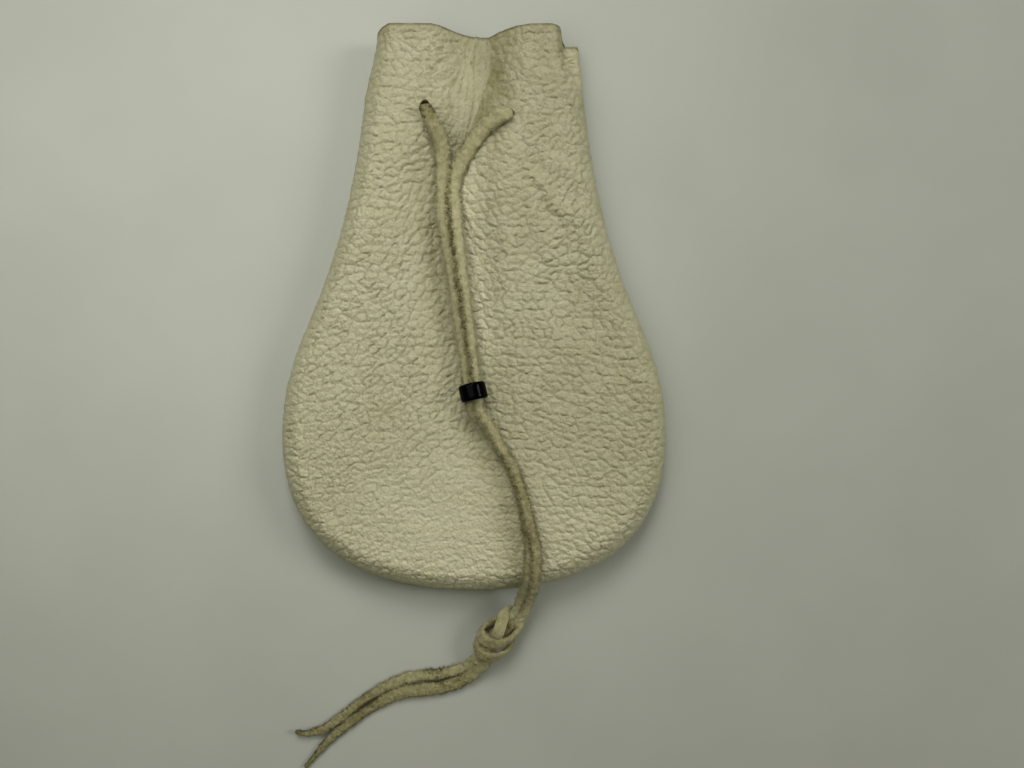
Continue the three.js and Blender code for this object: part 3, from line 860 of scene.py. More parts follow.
def black_glass():
    made = Nodes("black_glass")
    dust = made.ramp(made.noise(0.5, 3.0), 0.62, 0.75, 0, 0.01)
    colour = made.blend(dust, srgb(2, 2, 3), srgb(120, 120, 112))
    rough = made.ramp(made.noise(1.2, 3.0), 0.35, 0.7, 0.05, 0.12)
    wave = made.bump(made.noise(2.2, 1.0), 0.05, 0.4)
    return made.finish(colour, rough, wave, Specular_IOR_Level=0.03)


def two_toned(name, tones, first, second, rough, nap, depth, strength, **inputs):
    """A plain material: size and detail of its tones, their colours, and size and detail of its nap."""
    made = Nodes(name)
    colour = made.blend(made.ramp(made.noise(*tones), 0.3, 0.7), srgb(*first), srgb(*second))
    return made.finish(colour, rough, made.bump(made.noise(*nap), depth, strength), **inputs)


panel_materials = [
    grain_leather(),
    two_toned("flesh_leather", (9, 4.0), (158, 150, 116), (140, 131, 96), 0.95, (0.35, 5.0, 0.7), 0.2, 0.8,
              Specular_IOR_Level=0.1, Sheen_Weight=0.2),
    two_toned("edge_leather", (3, 4.0), (118, 110, 78), (84, 76, 48), 0.95, (0.3, 4.0, 0.7), 0.2, 0.8,
              Specular_IOR_Level=0.1),
]
suede_material = suede()
bead_material = black_glass()
thread_material = two_toned("seam_cotton", (1.2, 3.0), (150, 145, 112), (126, 120, 86), 0.9, (0.25, 2.0),
                            0.1, 0.8, Specular_IOR_Level=0.2)


# Panels: edge step, lattice spacing, depth of the grain

FRONT_STEP = 0.8
FRONT_SPACING = 0.49
FRONT_GRAIN = 0.76
BACK_STEP = 1.2
BACK_SPACING = 0.8
BACK_GRAIN = 0.3
BACK_CALM = 0.8
BACK_FLANK = ((-62, -45), (8, 26))
BACK_FOOT = ((28, -87), (9, 9))
SHARP_ANGLE = 80

# Where the front's grain is calmer or stronger
FOOT_CALM = 0.5
FOOT_BLOB = ((-8, -68), (30, 19))
KITE_CALM = 0.55
KITE_CALM_WIDTH = 0.85
EDGE_CALM = 0.45
EDGE_CALM_FADE = (0.5, 6)
CUT_CALM = 0.8
CUT_CALM_FADE = (0.3, 2.5)
LOBE_RISE = 0.2
LOBE_BLOB = ((26, 8), (20, 30))

# Where the front is soiled and where shade is painted into it: shares, and the fades or sides and spreads
# that bound them
MOUTH_SOIL = [(0.2, 9, 0), (0.6, 1.3, 0.3)]
NECK_SOIL = (0.1, 0.35)
NECK_SOIL_FADE = (45, 75)
NECK_SOIL_SIDE = (-14, 4)
FLANK_SHADE = (0.9, 0.3)
FLANK_SHADE_FADE = (72, 86)
FLANK_LEFT = (-0.3, 0.8)
FLANK_RIGHT = (2, 13)
FLANK_START = (54, 64)
HOLE_SOIL_AND_SHADE = 0.5
HOLE_SOIL_AREA = 7
LACE_SOIL_AND_SHADE = 0.65
LACE_SOIL_SIDE = 4.5
LACE_SOIL_SPREAD = 5.5
LACE_SOIL_START = (-30, 10)
LACE_SOIL_END = (44, 60)
LACE_SOIL_LOSS = 0.75
LOWER_LACE_Y = [-88, -74, -60, -50, -37, -28]
LOWER_LACE_X = [18, 18.6, 15.5, 12.6, 5, 0.8]
SHADE_SOIL = 0.5
SHADE_SIDE = 5
SHADE_SPREAD = 6
SHADE_START = (28, 42)
EDGE_SOIL = 0.3
EDGE_SOIL_REACH = 3
RIM_FADE = (MOUTH_Y - 0.9, MOUTH_Y - 0.35)
RIM_SOIL = 0.65
RIM_UNEVEN = 0.2

# Where paler colour is painted in as light
BELLY_LIGHT_X = 4
BELLY_LIGHT_SPREAD = 62
BELLY_LIGHT_FADE = (-84, -32)
CORNER_LIGHT = 0.9
CORNER_LIGHT_FADE = (66, 78)
RIDGE_LIGHT = 0.9
RIDGE_SIDE = 5
RIDGE_HALF = 9
RIDGE_START = (-30, 0)
RIDGE_END = (40, 58)


def front_calm(x, y):
    """Grain is flatter at the bottom of the belly and in the stretched leather between the holes."""
    foot = FOOT_CALM * blob(x, y, *FOOT_BLOB)
    stretched = KITE_CALM * hump(kite(x, y) * KITE_CALM_WIDTH) * smooth(y, *KITE_FADE)
    rim = EDGE_CALM * (1 - smooth(inset_of(x, y), *EDGE_CALM_FADE))
    lobes = LOBE_RISE * blob(np.abs(x), y, *LOBE_BLOB)
    cut = CUT_CALM * (1 - smooth(MOUTH_Y - y, *CUT_CALM_FADE))
    return (1 - np.maximum(foot, stretched)) * (1 - rim) * (1 - cut) * (1 + lobes)


def front_soil_and_shade(x, y):
    """Yellowed leather at the mouth, round the holes and along the lace, and painted shade on the flank right
    of the crease, round the holes, beside the lace and left of its stretch below the bead.
    """
    crease = x - spline(VALLEY_Y, VALLEY_X, y)
    # painted shade on the steep flank right of the crease
    flank = smooth(crease, *FLANK_LEFT) * (1 - smooth(crease, *FLANK_RIGHT)) * smooth(y, *FLANK_START)
    flank = mix(*FLANK_SHADE, smooth(y, *FLANK_SHADE_FADE)) * flank
    mouth = sum(share * smooth(y, MOUTH_Y - start, MOUTH_Y - end) for share, start, end in MOUTH_SOIL)
    neck = smooth(y, *NECK_SOIL_FADE) * mix(*NECK_SOIL, smooth(x, *NECK_SOIL_SIDE))
    # round the holes: dirt and painted shade of the holes
    holes = sum(np.exp(-(((x - hx) ** 2 + (y - hy) ** 2) / HOLE_SOIL_AREA)) for hx, hy in FRONT_HOLES)
    # beside the lace: stain, and painted shade of the valley and of the raised lace
    lace = np.exp(-(((crease + LACE_SOIL_SIDE) / LACE_SOIL_SPREAD) ** 2)) * smooth(y, *LACE_SOIL_START)
    lace = lace * (1 - LACE_SOIL_LOSS * smooth(y, *LACE_SOIL_END))
    # left of the lower lace: dirt and painted shadow
    lower = x - np.interp(y, LOWER_LACE_Y, LOWER_LACE_X)
    shade = np.exp(-(((lower + SHADE_SIDE) / SHADE_SPREAD) ** 2)) * smooth(-y, *SHADE_START)
    edge = EDGE_SOIL * (1 - smooth(inset_of(x, y), 0, EDGE_SOIL_REACH))
    soil_and_shade = mouth + neck + flank + HOLE_SOIL_AND_SHADE * holes + LACE_SOIL_AND_SHADE * lace + SHADE_SOIL * shade + edge
    return np.clip(soil_and_shade, 0, 1)


def front_painted_light(x, y):
    """Painted light: paler colour at the belly's lower end, and on the right corner's strip and the ridge
    right of the lace, lifting the shadows of the flap and of the lace.
    """
    belly = np.exp(-(((x - BELLY_LIGHT_X) / BELLY_LIGHT_SPREAD) ** 2)) * (1 - smooth(y, *BELLY_LIGHT_FADE))
    strip_end = 1 - smooth(half_width(y) - x, CORNER_STRIP - 1, CORNER_STRIP + 1)
    corner = CORNER_LIGHT * smooth(y, *CORNER_LIGHT_FADE) * strip_end
    ridge = RIDGE_LIGHT * hump((x - spline(VALLEY_Y, VALLEY_X, y) - RIDGE_SIDE) / RIDGE_HALF)
    ridge = ridge * smooth(y, *RIDGE_START) * (1 - smooth(y, *RIDGE_END))
    return np.maximum(np.maximum(belly, corner), ridge)


def front_rim(x, y):
    """The dark line of handling along the cut edge of the mouth."""
    return smooth(y, *RIM_FADE) * (RIM_SOIL + RIM_UNEVEN * noise(np.stack([x, y], 1), *RIM_NOISE))


def back_grow(points):
    """The back panel shows a little beyond the front one on the left flank and at the bottom right."""
    return blob(*points.T, *BACK_FLANK) + blob(*points.T, *BACK_FOOT)


def back_calm(x, y):
    return np.full(len(x), BACK_CALM)


front, front_top = panel("front_leather", MOUTH_Y, FRONT_SEAM, 1, front_outside, front_inside, trimmed,
                         FRONT_HOLES, FRONT_STEP, FRONT_SPACING)
raise_grain(front, front_top, FRONT_GRAIN, front_calm)
back, back_top = panel("back_leather", BACK_MOUTH_Y, BACK_SEAM, -1, back_outside, back_inside, tucked,
                       BACK_HOLES, BACK_STEP, BACK_SPACING, back_grow)
raise_grain(back, back_top, BACK_GRAIN, back_calm)
for name, amount in (("soil_and_shade", front_soil_and_shade), ("painted_light", front_painted_light), ("rim", front_rim)):
    write_attribute(front, name, amount(*front_top.T))
for piece, node in ((front, "front_panel"), (back, "back_panel")):
    piece.data.set_sharp_from_angle(angle=math.radians(SHARP_ANGLE))
    dress(piece, "pouch", node)


# Lace: routes through the solids' own points

SLIDE_START = np.array([0.2, -25.9, 17.7])
SLIDE_END = np.array([-7.3, 27.2, 13.9])
LEFT_FROM_HOLE = [
    (-15, 64.7, 11.6), (-15, 64.6, 13.6), (-14.9, 64.2, 15.4), (-14.7, 63.3, 16.5), (-14.2, 61.8, 16.5),
    (-12.8, 59.2, 15.7), (-10.9, 56, 13.8), (-9.9, 52, 11.8), (-9.7, 46, 10.4), (-9.7, 38.5, 10.7),
]
RIGHT_FROM_HOLE = [
    (11.9, 62.3, 11.4), (11.8, 62.2, 13.6), (11.5, 62.1, 15.4), (10.4, 61.8, 16.1), (8.7, 61.3, 15.8),
    (6.6, 60.4, 14.6), (2.8, 57.8, 12.7), (-1, 53.3, 11.2), (-4.4, 48.2, 10.4), (-6.1, 43.5, 10.2),
    (-6.6, 38.5, 10.7),
]
BELOW_BEAD = [
    (5.3, -37.6, 17.1), (8.9, -43.8, 17), (13, -50.7, 17.4), (15.9, -60.1, 17.9), (17.7, -68, 17.8),
    (19, -74.6, 17.2), (18.9, -80.6, 16.7), (18.5, -85.2, 15.2), (17.8, -89.4, 12.1), (16.8, -93.2, 8.9),
    (15.1, -98.2, 6.2), (12.6, -101.8, 5), (10.6, -104.4, 4.6),
]
CURLED_TAIL = [
    (4.4, -110.4, 4.6), (2.2, -112.6, 4.4), (0.2, -114.6, 3.6), (-1.6, -116.4, 2.4), (-4.6, -118.2, 1.4),
    (-12.9, -120.4, 1.1), (-21.9, -121.4, 1), (-31.2, -125.1, 1), (-38.5, -129.8, 1), (-46.5, -136, 1),
    (-52.1, -139.1, 1.2), (-56.4, -139.8, 1.5), (-59.4, -139.2, 2.2),
]
THIN_TAIL = [
    (6.4, -111.6, 4.6), (4.2, -114, 4.4), (2.4, -116.6, 3.6), (0.4, -118.8, 2.4), (-2.8, -121.2, 1.5),
    (-9.5, -124.2, 1.2), (-17.2, -125.4, 1.1), (-24.8, -126.4, 1), (-34.2, -131.2, 1), (-41.8, -136.3, 1),
    (-48.6, -142, 0.9), (-52.8, -146.9, 0.8), (-56.6, -151.4, 0.8),
]
BACK_RUN = [
    (-15, 5.2), (-11.6, 6.6), (-9.6, 6.5), (-8.6, 5.3), (-8.5, 4), (-8.3, 2.8), (-7.5, 1.9),
    (-5.8, 1.6), (-2.5, 1.6),
]
MOUTH_RUN = [
    (-15.2, 65.2, 12.8), (-15.4, 65.3, 12.3), (-16.4, 65.4, 11.8), (-18.5, 65.3, 11.6), (-22, 65, 11.4),
    (-26.6, 64.6, 10.6), (-29.2, 64.3, 7.4), (-28, 64.1, 4.4), (-24, 64, 3.3), (-19.5, 64, 3.3),
    *[(x, BACK_HOLE_Y, z) for x, z in BACK_RUN], *[(-x, BACK_HOLE_Y, z) for x, z in reversed(BACK_RUN)],
    (19.5, 63.9, 3.3), (24, 63.8, 3.3), (28, 63.6, 4.4), (29.2, 63.3, 7.4), (26.6, 62.9, 10.6),
    (21.5, 62.8, 11.5), (16.5, 62.7, 11.6), (13.9, 62.6, 11.7), (12.4, 62.4, 12), (11.7, 62.4, 12.4),
]
KNOT_UPPER = [
    (14.9, -101.4, 3.2), (14.7, -103.5, 5.4), (11.9, -106.6, 7.2), (8, -108.3, 7.8), (5, -107.8, 7.4),
    (2.6, -106.2, 6.4), (2.4, -104.5, 5.2), (4, -103, 4.6), (6.4, -101.8, 4), (9.2, -101, 3),
    (12.4, -100.4, 2.4),
]
KNOT_LOWER = [
    (12.1, -108.4, 3.2), (11.4, -110, 4.8), (9, -112, 6), (5.7, -112.9, 6.4), (2.4, -112, 6.2),
    (1, -109.6, 5.6), (1.4, -107.2, 4.6), (3.4, -105.4, 3.4), (7, -105.2, 2.2), (10.4, -106.4, 2.2),
]
KNOT_LOOP = [
    (13.2, -100, 2.2), (11.6, -98.4, 4), (10, -98.8, 6.6), (9.2, -100.4, 8.2), (8.4, -102.8, 8.9),
    (7.7, -105, 8.6), (7.3, -106.6, 7.2), (7.1, -107.6, 5.2),
]
KNOT_CORE = [(12.2, -101.6, 4.4), (9.4, -104.4, 4.4), (6.6, -107.6, 4.4), (3.6, -111, 4.3)]
KNOT_AXIS = np.array([-0.633, -0.774, 0.0])

# Width, thickness and tilt of each strip at the points of its route; the right strand's tilt is mirrored
LEFT_WIDTH = [2.6, 2.8, 3.1, 3.5, 3.9, 4.3, 4.5, 4.6, 4.5, 4.4]
LEFT_THICK = [2, 2, 2, 1.9, 1.8, 1.7, 1.6, 1.6, 1.7, 1.8]
LEFT_TILT = [0, 0, 0, 2, 4, 6, 8, 10, 14, 20]
RIGHT_WIDTH = [2.6, 3, 3.6, 4.2, 4.5, 4.7, 4.8, 4.8, 4.7, 4.6, 4.4]
RIGHT_THICK = [2, 2, 2, 1.9, 1.8, 1.7, 1.6, 1.6, 1.6, 1.7, 1.8]
RIGHT_TILT = [0, 0, 0, 2, 4, 6, 8, 10, 14, 18, 22]
CURLED_WIDTH = [3.4, 3.4, 3.4, 3.3, 3.2, 3.2, 3.1, 3, 2.4, 2.8, 2.5, 1.8, 1.1]
CURLED_THICK = [1.8, 1.8, 1.8, 1.8, 1.8, 1.7, 1.6, 1.6, 1.6, 1.6, 1.6, 1.4, 1]
CURLED_TILT = [0, 0, 0, 0, 0, 6, 10, 4, 22, 8, 0, 0, 0]
THIN_WIDTH = [3.8, 3.8, 3.8, 3.9, 4, 4.1, 4, 3.9, 3, 3.2, 2.5, 1.5, 1]
THIN_THICK = [1.8, 1.8, 1.8, 1.8, 1.8, 1.7, 1.7, 1.6, 1.6, 1.6, 1.4, 1.2, 0.9]
THIN_TILT = [0, 0, 0, 0, 0, -4, 6, 10, -16, -6, 0, 0, 0]

# The run round the mouth and the turns of the knot
RUN_WIDTH = 2.3
RUN_THICK = 1.9
RUN_STEP = 0.7
RUN_SIDES = 16
UPPER_WIDTH = 3.9
UPPER_DIP = -0.35
LOWER_WIDTH = 3.2
LOWER_DIP = -0.45
TURN_THICK = 1.8
LOOP_WIDTH = 3.7
LOOP_THICK = 1.5
LOOP_ROUGH = 0.06
CORE_SIZE = 5.4

# The doubled lace: places along the bead's slide, and at each point the strands' offset, lift and section
SLIDE_SHARES = [1.08, 1, 0.75, 0.5, 0.25, 0.05, -0.05, -0.11]
DOUBLED_OFFSET = [
    1.95, 1.75, 1.5, 1.42, 1.34, 1.28, 1.25, 1.1, 0.6, 0.35, 0.25, 0.3, 0.5, 0.8, 1.05, 1.2, *[1.3] * 2,
    1.25, 1.1, 0.9,
]
DOUBLED_LIFT = [*[0] * 7, 0.15, 0.4, 0.6, 0.75, 0.75, 0.6, 0.5, 0.4, *[0.3] * 6]
DOUBLED_WIDTH = [
    4.3, 4.1, 3.9, 3.7, 3.4, 3.2, 3.1, 2.9, 2.7, 2.6, 2.6, 2.7, 2.8, *[2.9] * 3, *[2.8] * 3, 2.9, 3,
]
DOUBLED_THICK = [1.9, 1.8, 1.7, 1.6, *[1.5] * 13, *[1.6] * 4]
DOUBLED_TILT = [26, 34, 42, 44, 44, 44, 44, 38, 24, 14, 8, 6, 8, 12, 16, 20, 22, 22, 20, 16, 12]
LACE_DIP = 1.5

# Section of a strip, and its unevenness
TABLE_GAP = 0.05
SECTION_POWER = 0.72
WIDTH_WAVER = 0.06
WIDTH_WAVER_SIZE = 4.0
STRIP_APART = 9.1
BUMP_SIZE = 1.1
FINE_BUMP = 0.6
FINE_BUMP_SIZE = 0.55
BUMP_LIMIT = 0.8
ROUTE_PARTS = 24

# Fibres of the nap
FIBRE_HALF_WIDTH = 0.08
FIBRE_NARROWING = 0.8
FIBRE_DROOP = 0.3
FIBRE_BEND = 0.25
FIBRE_KNEE = 0.55
FIBRE_ON_FACE = 0.3
FIBRE_EDGE_POWER = 10
FIBRE_ALONG = 0.9
FIBRE_ASIDE = 0.35
FIBRE_TWIST = 0.4
FIBRE_FACE_LENGTH = 0.45
FIBRE_LENGTHS = (0.3, 1.0)
FIBRE_PALE = (0.1, 1.0)
FIBRE_REACH = ([0, 0.1, 0.22, 0.5, 0.6, 0.8, 0.9, 1], [0.3, 0.5, 1, 1, 0.85, 0.85, 0.55, 0.5])
FIBRE_LIMIT = 4.2
FIBRE_CORNERS = 5

# Pale stretches and dirt, partly painted light and shade: shares along the strip, and how much there
# the pale near the knot, at the end of both tables, is painted light against the pouch's shadow on the lace
LEFT_PALE_AND_LIGHT = ([0, 0.1, 0.2, 0.3, 0.45, 0.55, 0.7, 0.85, 1], [0.6, 0.7, 0.6, 0.8, 0.7, 0.3, 0.1, 0.45, 0.9])
RIGHT_PALE_AND_LIGHT = ([0, 0.1, 0.16, 0.24, 0.3, 0.38, 0.45, 0.6, 0.72, 0.85, 1],
              [0.8, 0.9, 0.7, 0.95, 1, 0.95, 0.85, 0.5, 0.2, 0.4, 0.9])
TAIL_PALE = ([0, 0.15, 0.35, 0.5], [0.3, 0.4, 0.25, 0])
THIN_PALE_SHARE = 0.4
# the left strand's first few millimetres, at its hole, are darkened as painted shade of the hole
LEFT_DIRT_AND_SHADE = ([0, 0.03, 0.06, 0.2, 0.45, 0.52, 0.62, 0.8, 0.9, 1],
             [1.3, 1.2, 0.4, 0.3, 0.3, 0.3, 0.35, 0.5, 0.45, 0.2])
RIGHT_DIRT = ([0, 0.1, 0.2, 0.3, 0.4, 0.5, 0.58, 0.66, 0.78, 0.88, 1],
              [0.4, 0.4, 0.3, 0.15, 0.3, 0.3, 0.3, 0.55, 0.65, 0.5, 0.2])
CURLED_DIRT = ([0, 0.22, 0.26, 0.32, 0.36, 0.55, 0.62, 0.7, 0.92, 1],
               [0.1, 0.15, 0.9, 0.9, 0.2, 0.3, 0.9, 0.6, 0.8, 1.2])
THIN_DIRT = ([0, 0.14, 0.2, 0.3, 0.36, 0.55, 0.62, 0.7, 0.9, 1],
             [0.15, 0.4, 0.9, 0.8, 0.5, 0.6, 1.0, 0.7, 0.9, 1.2])
RUN_DIRT = ([0, 1], [0.4, 0.4])
# the knot's core, seen in the crevices between the turns, is darkened as painted shade
KNOT_DIRT_AND_SHADE = (0.25, 0.4, 0.0, 0.8)
# painted shade: the dark groove between the two strands of the doubled lace
BETWEEN_SHADE = ([0.06, 0.14, 0.2, 0.3, 0.5, 0.6], [0.05, 0.45, 0.75, 0.65, 0.55, 0.15])
BETWEEN_FADE = (0.15, 1)
OUTER_DIRT = 0.05
EDGE_DIRT = 0.35
EDGE_DIRT_FADE = (0.75, 1)
FACE_DIRT = 0.7
LEFT_CLEAN_UNTIL = 0.5


def between(first, second, start, end, at):
    return (end - at) / (end - start) * first + (at - start) / (end - start) * second


def route(points, step, closed=False):
    """Points at even steps along a smooth curve through the given ones, and how far along those lie."""
    points = np.asarray(points, float)
    if closed:
        padded = np.concatenate([points[-1:], points, points[:2]])
    else:
        padded = np.concatenate([2 * points[:1] - points[1:2], points, 2 * points[-1:] - points[-2:-1]])
    lines = []
    t = np.linspace(0, 1, ROUTE_PARTS, endpoint=False)[:, None]
    for k in range(len(padded) - 3):
        a, b, c, d = padded[k : k + 4]
        t0 = 0.0
        t1 = t0 + np.linalg.norm(b - a) ** 0.5
        t2 = t1 + np.linalg.norm(c - b) ** 0.5
        t3 = t2 + np.linalg.norm(d - c) ** 0.5
        at = t1 + (t2 - t1) * t
        ab, bc, cd = between(a, b, t0, t1, at), between(b, c, t1, t2, at), between(c, d, t2, t3, at)
        abc, bcd = between(ab, bc, t0, t2, at), between(bc, cd, t1, t3, at)
        lines.append(between(abc, bcd, t1, t2, at))
    line = np.concatenate([*lines, points[:1] if closed else points[-1:]])
    run = np.concatenate([[0], np.cumsum(np.linalg.norm(np.diff(line, axis=0), axis=1))])
    count = max(int(run[-1] / step), 8)
    even = np.linspace(0, run[-1], count + 1)
    if closed:
        even = even[:-1]
    return places_at(even, run, line), even, run[::ROUTE_PARTS][: len(points)]


def strip(points, width, thick, tilt=0, across=None, closed=False, step=0.4, sides=32, rough=0.34, seed=0):
    """A soft strip of leather along a route. Its sizes are numbers, or one for each point of the route."""
    path, even, knots = route(points, step, closed)

    def spread(value):
        return np.full(len(even), float(value)) if np.isscalar(value) else np.interp(even, knots, value)

    if closed:
        tangent = unit(np.roll(path, -1, axis=0) - np.roll(path, 1, axis=0))
    else:
        tangent = unit(np.gradient(path, axis=0))
    if across is None:
        side = unit(np.cross([0, 0, 1], tangent))
        up = np.cross(tangent, side)
        lean = np.radians(spread(tilt))[:, None]
        wide = side * np.cos(lean) + up * np.sin(lean)
    else:
        wide = unit(across - tangent * (tangent @ across)[:, None])
    deep = np.cross(tangent, wide)
    angle = round_angles(sides)
    cos, sin = np.cos(angle), np.sin(angle)
    u = np.sign(cos) * np.abs(cos) ** SECTION_POWER
    v = np.sign(sin) * np.abs(sin) ** SECTION_POWER
    place = np.stack([even, np.full(len(even), seed * STRIP_APART)], 1)
    waver = 1 + WIDTH_WAVER * noise(place, WIDTH_WAVER_SIZE, seed)
    a, b = spread(width) * waver / 2, spread(thick) / 2
    skin = path[:, None] + wide[:, None] * (a[:, None] * u)[..., None]
    skin = skin + deep[:, None] * (b[:, None] * v)[..., None]
    out = unit(skin - path[:, None])
    flat = skin.reshape(-1, 3)
    bumps = rough * (noise(flat, BUMP_SIZE, seed + 3) + FINE_BUMP * noise(flat, FINE_BUMP_SIZE, seed + 4))
    rows = len(path)
    skin = skin + out * bumps.reshape(rows, sides, 1) * np.minimum(b, BUMP_LIMIT)[:, None, None]
    skin = skin.reshape(-1, 3)
    faces = tube_faces(rows, sides, closed)
    along = np.repeat(even / even[-1], sides)
    edge, hand = np.tile(np.abs(u), rows), np.tile(np.sign(u), rows)
    if not closed:
        skin = np.concatenate([skin, [path[0] - tangent[0] * b[0], path[-1] + tangent[-1] * b[-1]]])
        along = np.concatenate([along, [0, 1]])
        edge = np.concatenate([edge, [1, 1]])
        hand = np.concatenate([hand, [0, 0]])
        first, last = rows * sides, rows * sides + 1
        faces += [(first, (k + 1) % sides, k) for k in range(sides)]
        base = (rows - 1) * sides
        faces += [(last, base + k, base + (k + 1) % sides) for k in range(sides)]
    skin[:, 2] = np.maximum(skin[:, 2], TABLE_GAP)
    return {
        "points": skin, "faces": faces, "path": path, "length": even[-1], "out": out.reshape(-1, 3),
        "tangent": np.repeat(tangent, sides, axis=0), "centre": np.repeat(path, sides, axis=0),
        "along": along, "edge": edge, "hand": hand, "pale": np.zeros(len(skin)),
    }


def fibres(made, count, length, seed):
    """Loose fibres of the nap: thin blades that stand off the strip and droop, most of them at its edges."""
    dice = np.random.default_rng(seed)
    chance = FIBRE_ON_FACE + made["edge"][: len(made["out"])] ** FIBRE_EDGE_POWER
    pick = dice.choice(len(chance), count, p=chance / chance.sum())
    root, centre = made["points"][pick], made["centre"][pick]
    stray = FIBRE_ALONG * made["tangent"][pick] * dice.normal(size=(count, 1))
    stray = stray + FIBRE_ASIDE * dice.normal(size=(count, 3))
    lean = unit(made["out"][pick] + stray)
    flat = unit(np.cross(lean, [0, 0, 1] + FIBRE_TWIST * dice.normal(size=(count, 3)))) * FIBRE_HALF_WIDTH
    reach = length * dice.uniform(*FIBRE_LENGTHS, (count, 1))
    reach = reach * mix(FIBRE_FACE_LENGTH, 1, made["edge"][pick])[:, None]
    reach = reach * np.interp(made["along"][pick], *FIBRE_REACH)[:, None]
    bend = FIBRE_BEND * reach * dice.normal(size=(count, 3)) - reach * [0, 0, FIBRE_DROOP]
    middle = root + lean * reach * FIBRE_KNEE
    end = root + lean * reach + bend
    end = centre + unit(end - centre) * np.minimum(np.linalg.norm(end - centre, axis=1), FIBRE_LIMIT)[:, None]
    for place in (middle, end):
        place[:, 2] = np.maximum(place[:, 2], TABLE_GAP)
    start = len(made["points"])
    knee = flat * FIBRE_NARROWING
    blade = np.stack([root - flat, root + flat, middle + knee, middle - knee, end], 1).reshape(-1, 3)
    made["points"] = np.concatenate([made["points"], blade])
    for key in ("along", "edge", "hand"):
        made[key] = np.concatenate([made[key], np.repeat(made[key][pick], FIBRE_CORNERS)])
    pale = np.repeat(dice.uniform(*FIBRE_PALE, count), FIBRE_CORNERS)
    made["pale"] = np.concatenate([made["pale"], pale])
    for base in range(start, start + FIBRE_CORNERS * count, FIBRE_CORNERS):
        made["faces"] += [(base, base + 1, base + 2, base + 3), (base + 3, base + 2, base + 4)]


def doubled(hand):
    """One strand of the doubled lace, on the right of its middle for a hand of 1, on the left for -1."""
    line = [SLIDE_START + (SLIDE_END - SLIDE_START) * share for share in SLIDE_SHARES]
    line = np.array([*line, *BELOW_BEAD])
    line[0, 2] -= LACE_DIP
    along = np.gradient(line, axis=0)
    side = unit(np.stack([-along[:, 1], along[:, 0], np.zeros(len(line))], 1))
    offset, lift = hand * np.array(DOUBLED_OFFSET), hand * np.array(DOUBLED_LIFT)
    return line + side * offset[:, None] + [0, 0, 1] * lift[:, None]


def strand(from_hole, width, thick, tilt, hand, seed):
    """A strand of the lace, from its hole through the doubled stretch to the knot."""
    points = np.concatenate([from_hole, doubled(hand)])
    tilts = -hand * np.array([*tilt, *DOUBLED_TILT])
    return strip(points, [*width, *DOUBLED_WIDTH], [*thick, *DOUBLED_THICK], tilts, seed=seed)


def dirt_and_shade_of(made, table, inner=0, until=1):
    """Dirt along a strip, more of it on the edges, but little on the outer one, as far as the share until; on
    the inner edge of a doubled strand it is painted shade of the groove between the strands.
    """
    outer = (made["hand"] * inner < 0) & (made["along"] < until)
    between = np.interp(made["along"], *BETWEEN_SHADE) if inner else EDGE_DIRT
    fade = BETWEEN_FADE if inner else EDGE_DIRT_FADE
    rim = np.where(outer, OUTER_DIRT, between) * smooth(made["edge"], *fade)
    return np.interp(made["along"], *table) * mix(FACE_DIRT, 1, made["edge"]) + rim


def laced(name, node, mades, dirt_and_shade):
    """One object from one or more strips."""
    faces = []
    start = 0
    for made in mades:
        faces += [tuple(corner + start for corner in face) for face in made["faces"]]
        start += len(made["points"])
    piece = object_of(name, np.concatenate([made["points"] for made in mades]), faces, [suede_material])
    write_attribute(piece, "dirt_and_shade", np.concatenate(dirt_and_shade))
    write_attribute(piece, "pale", np.concatenate([made["pale"] for made in mades]))
    dress(piece, "pouch", node)
    return piece


left_strip = strand(LEFT_FROM_HOLE, LEFT_WIDTH, LEFT_THICK, LEFT_TILT, -1, seed=1)
right_strip = strand(RIGHT_FROM_HOLE, RIGHT_WIDTH, RIGHT_THICK, RIGHT_TILT, 1, seed=2)
curled_strip = strip(CURLED_TAIL, CURLED_WIDTH, CURLED_THICK, CURLED_TILT, seed=3)
thin_strip = strip(THIN_TAIL, THIN_WIDTH, THIN_THICK, THIN_TILT, seed=4)
run_strip = strip(MOUTH_RUN, RUN_WIDTH, RUN_THICK, step=RUN_STEP, sides=RUN_SIDES, seed=5)
knot_strips = [
    strip(KNOT_UPPER, UPPER_WIDTH, TURN_THICK, across=KNOT_AXIS + [0, 0, UPPER_DIP], closed=True, seed=6),
    strip(KNOT_LOWER, LOWER_WIDTH, TURN_THICK, across=KNOT_AXIS + [0, 0, LOWER_DIP], closed=True, seed=7),
    strip(KNOT_LOOP, LOOP_WIDTH, LOOP_THICK, seed=8, rough=LOOP_ROUGH),
    strip(KNOT_CORE, CORE_SIZE, CORE_SIZE, seed=9),
]
napped = [
    (left_strip, 10000, 1.9), (right_strip, 10000, 1.9), (curled_strip, 2200, 1.1), (thin_strip, 2400, 1.1),
    (knot_strips[0], 700, 0.8), (knot_strips[1], 700, 0.8),
]
for number, (made, amount, reach) in enumerate(napped, 1):
    fibres(made, amount, reach, SEED + number)
paled = [
    (left_strip, LEFT_PALE_AND_LIGHT, 1), (right_strip, RIGHT_PALE_AND_LIGHT, 1), (curled_strip, TAIL_PALE, 1),
    (thin_strip, TAIL_PALE, THIN_PALE_SHARE),
]
for made, table, share in paled:
    made["pale"] = np.maximum(made["pale"], share * np.interp(made["along"], *table))

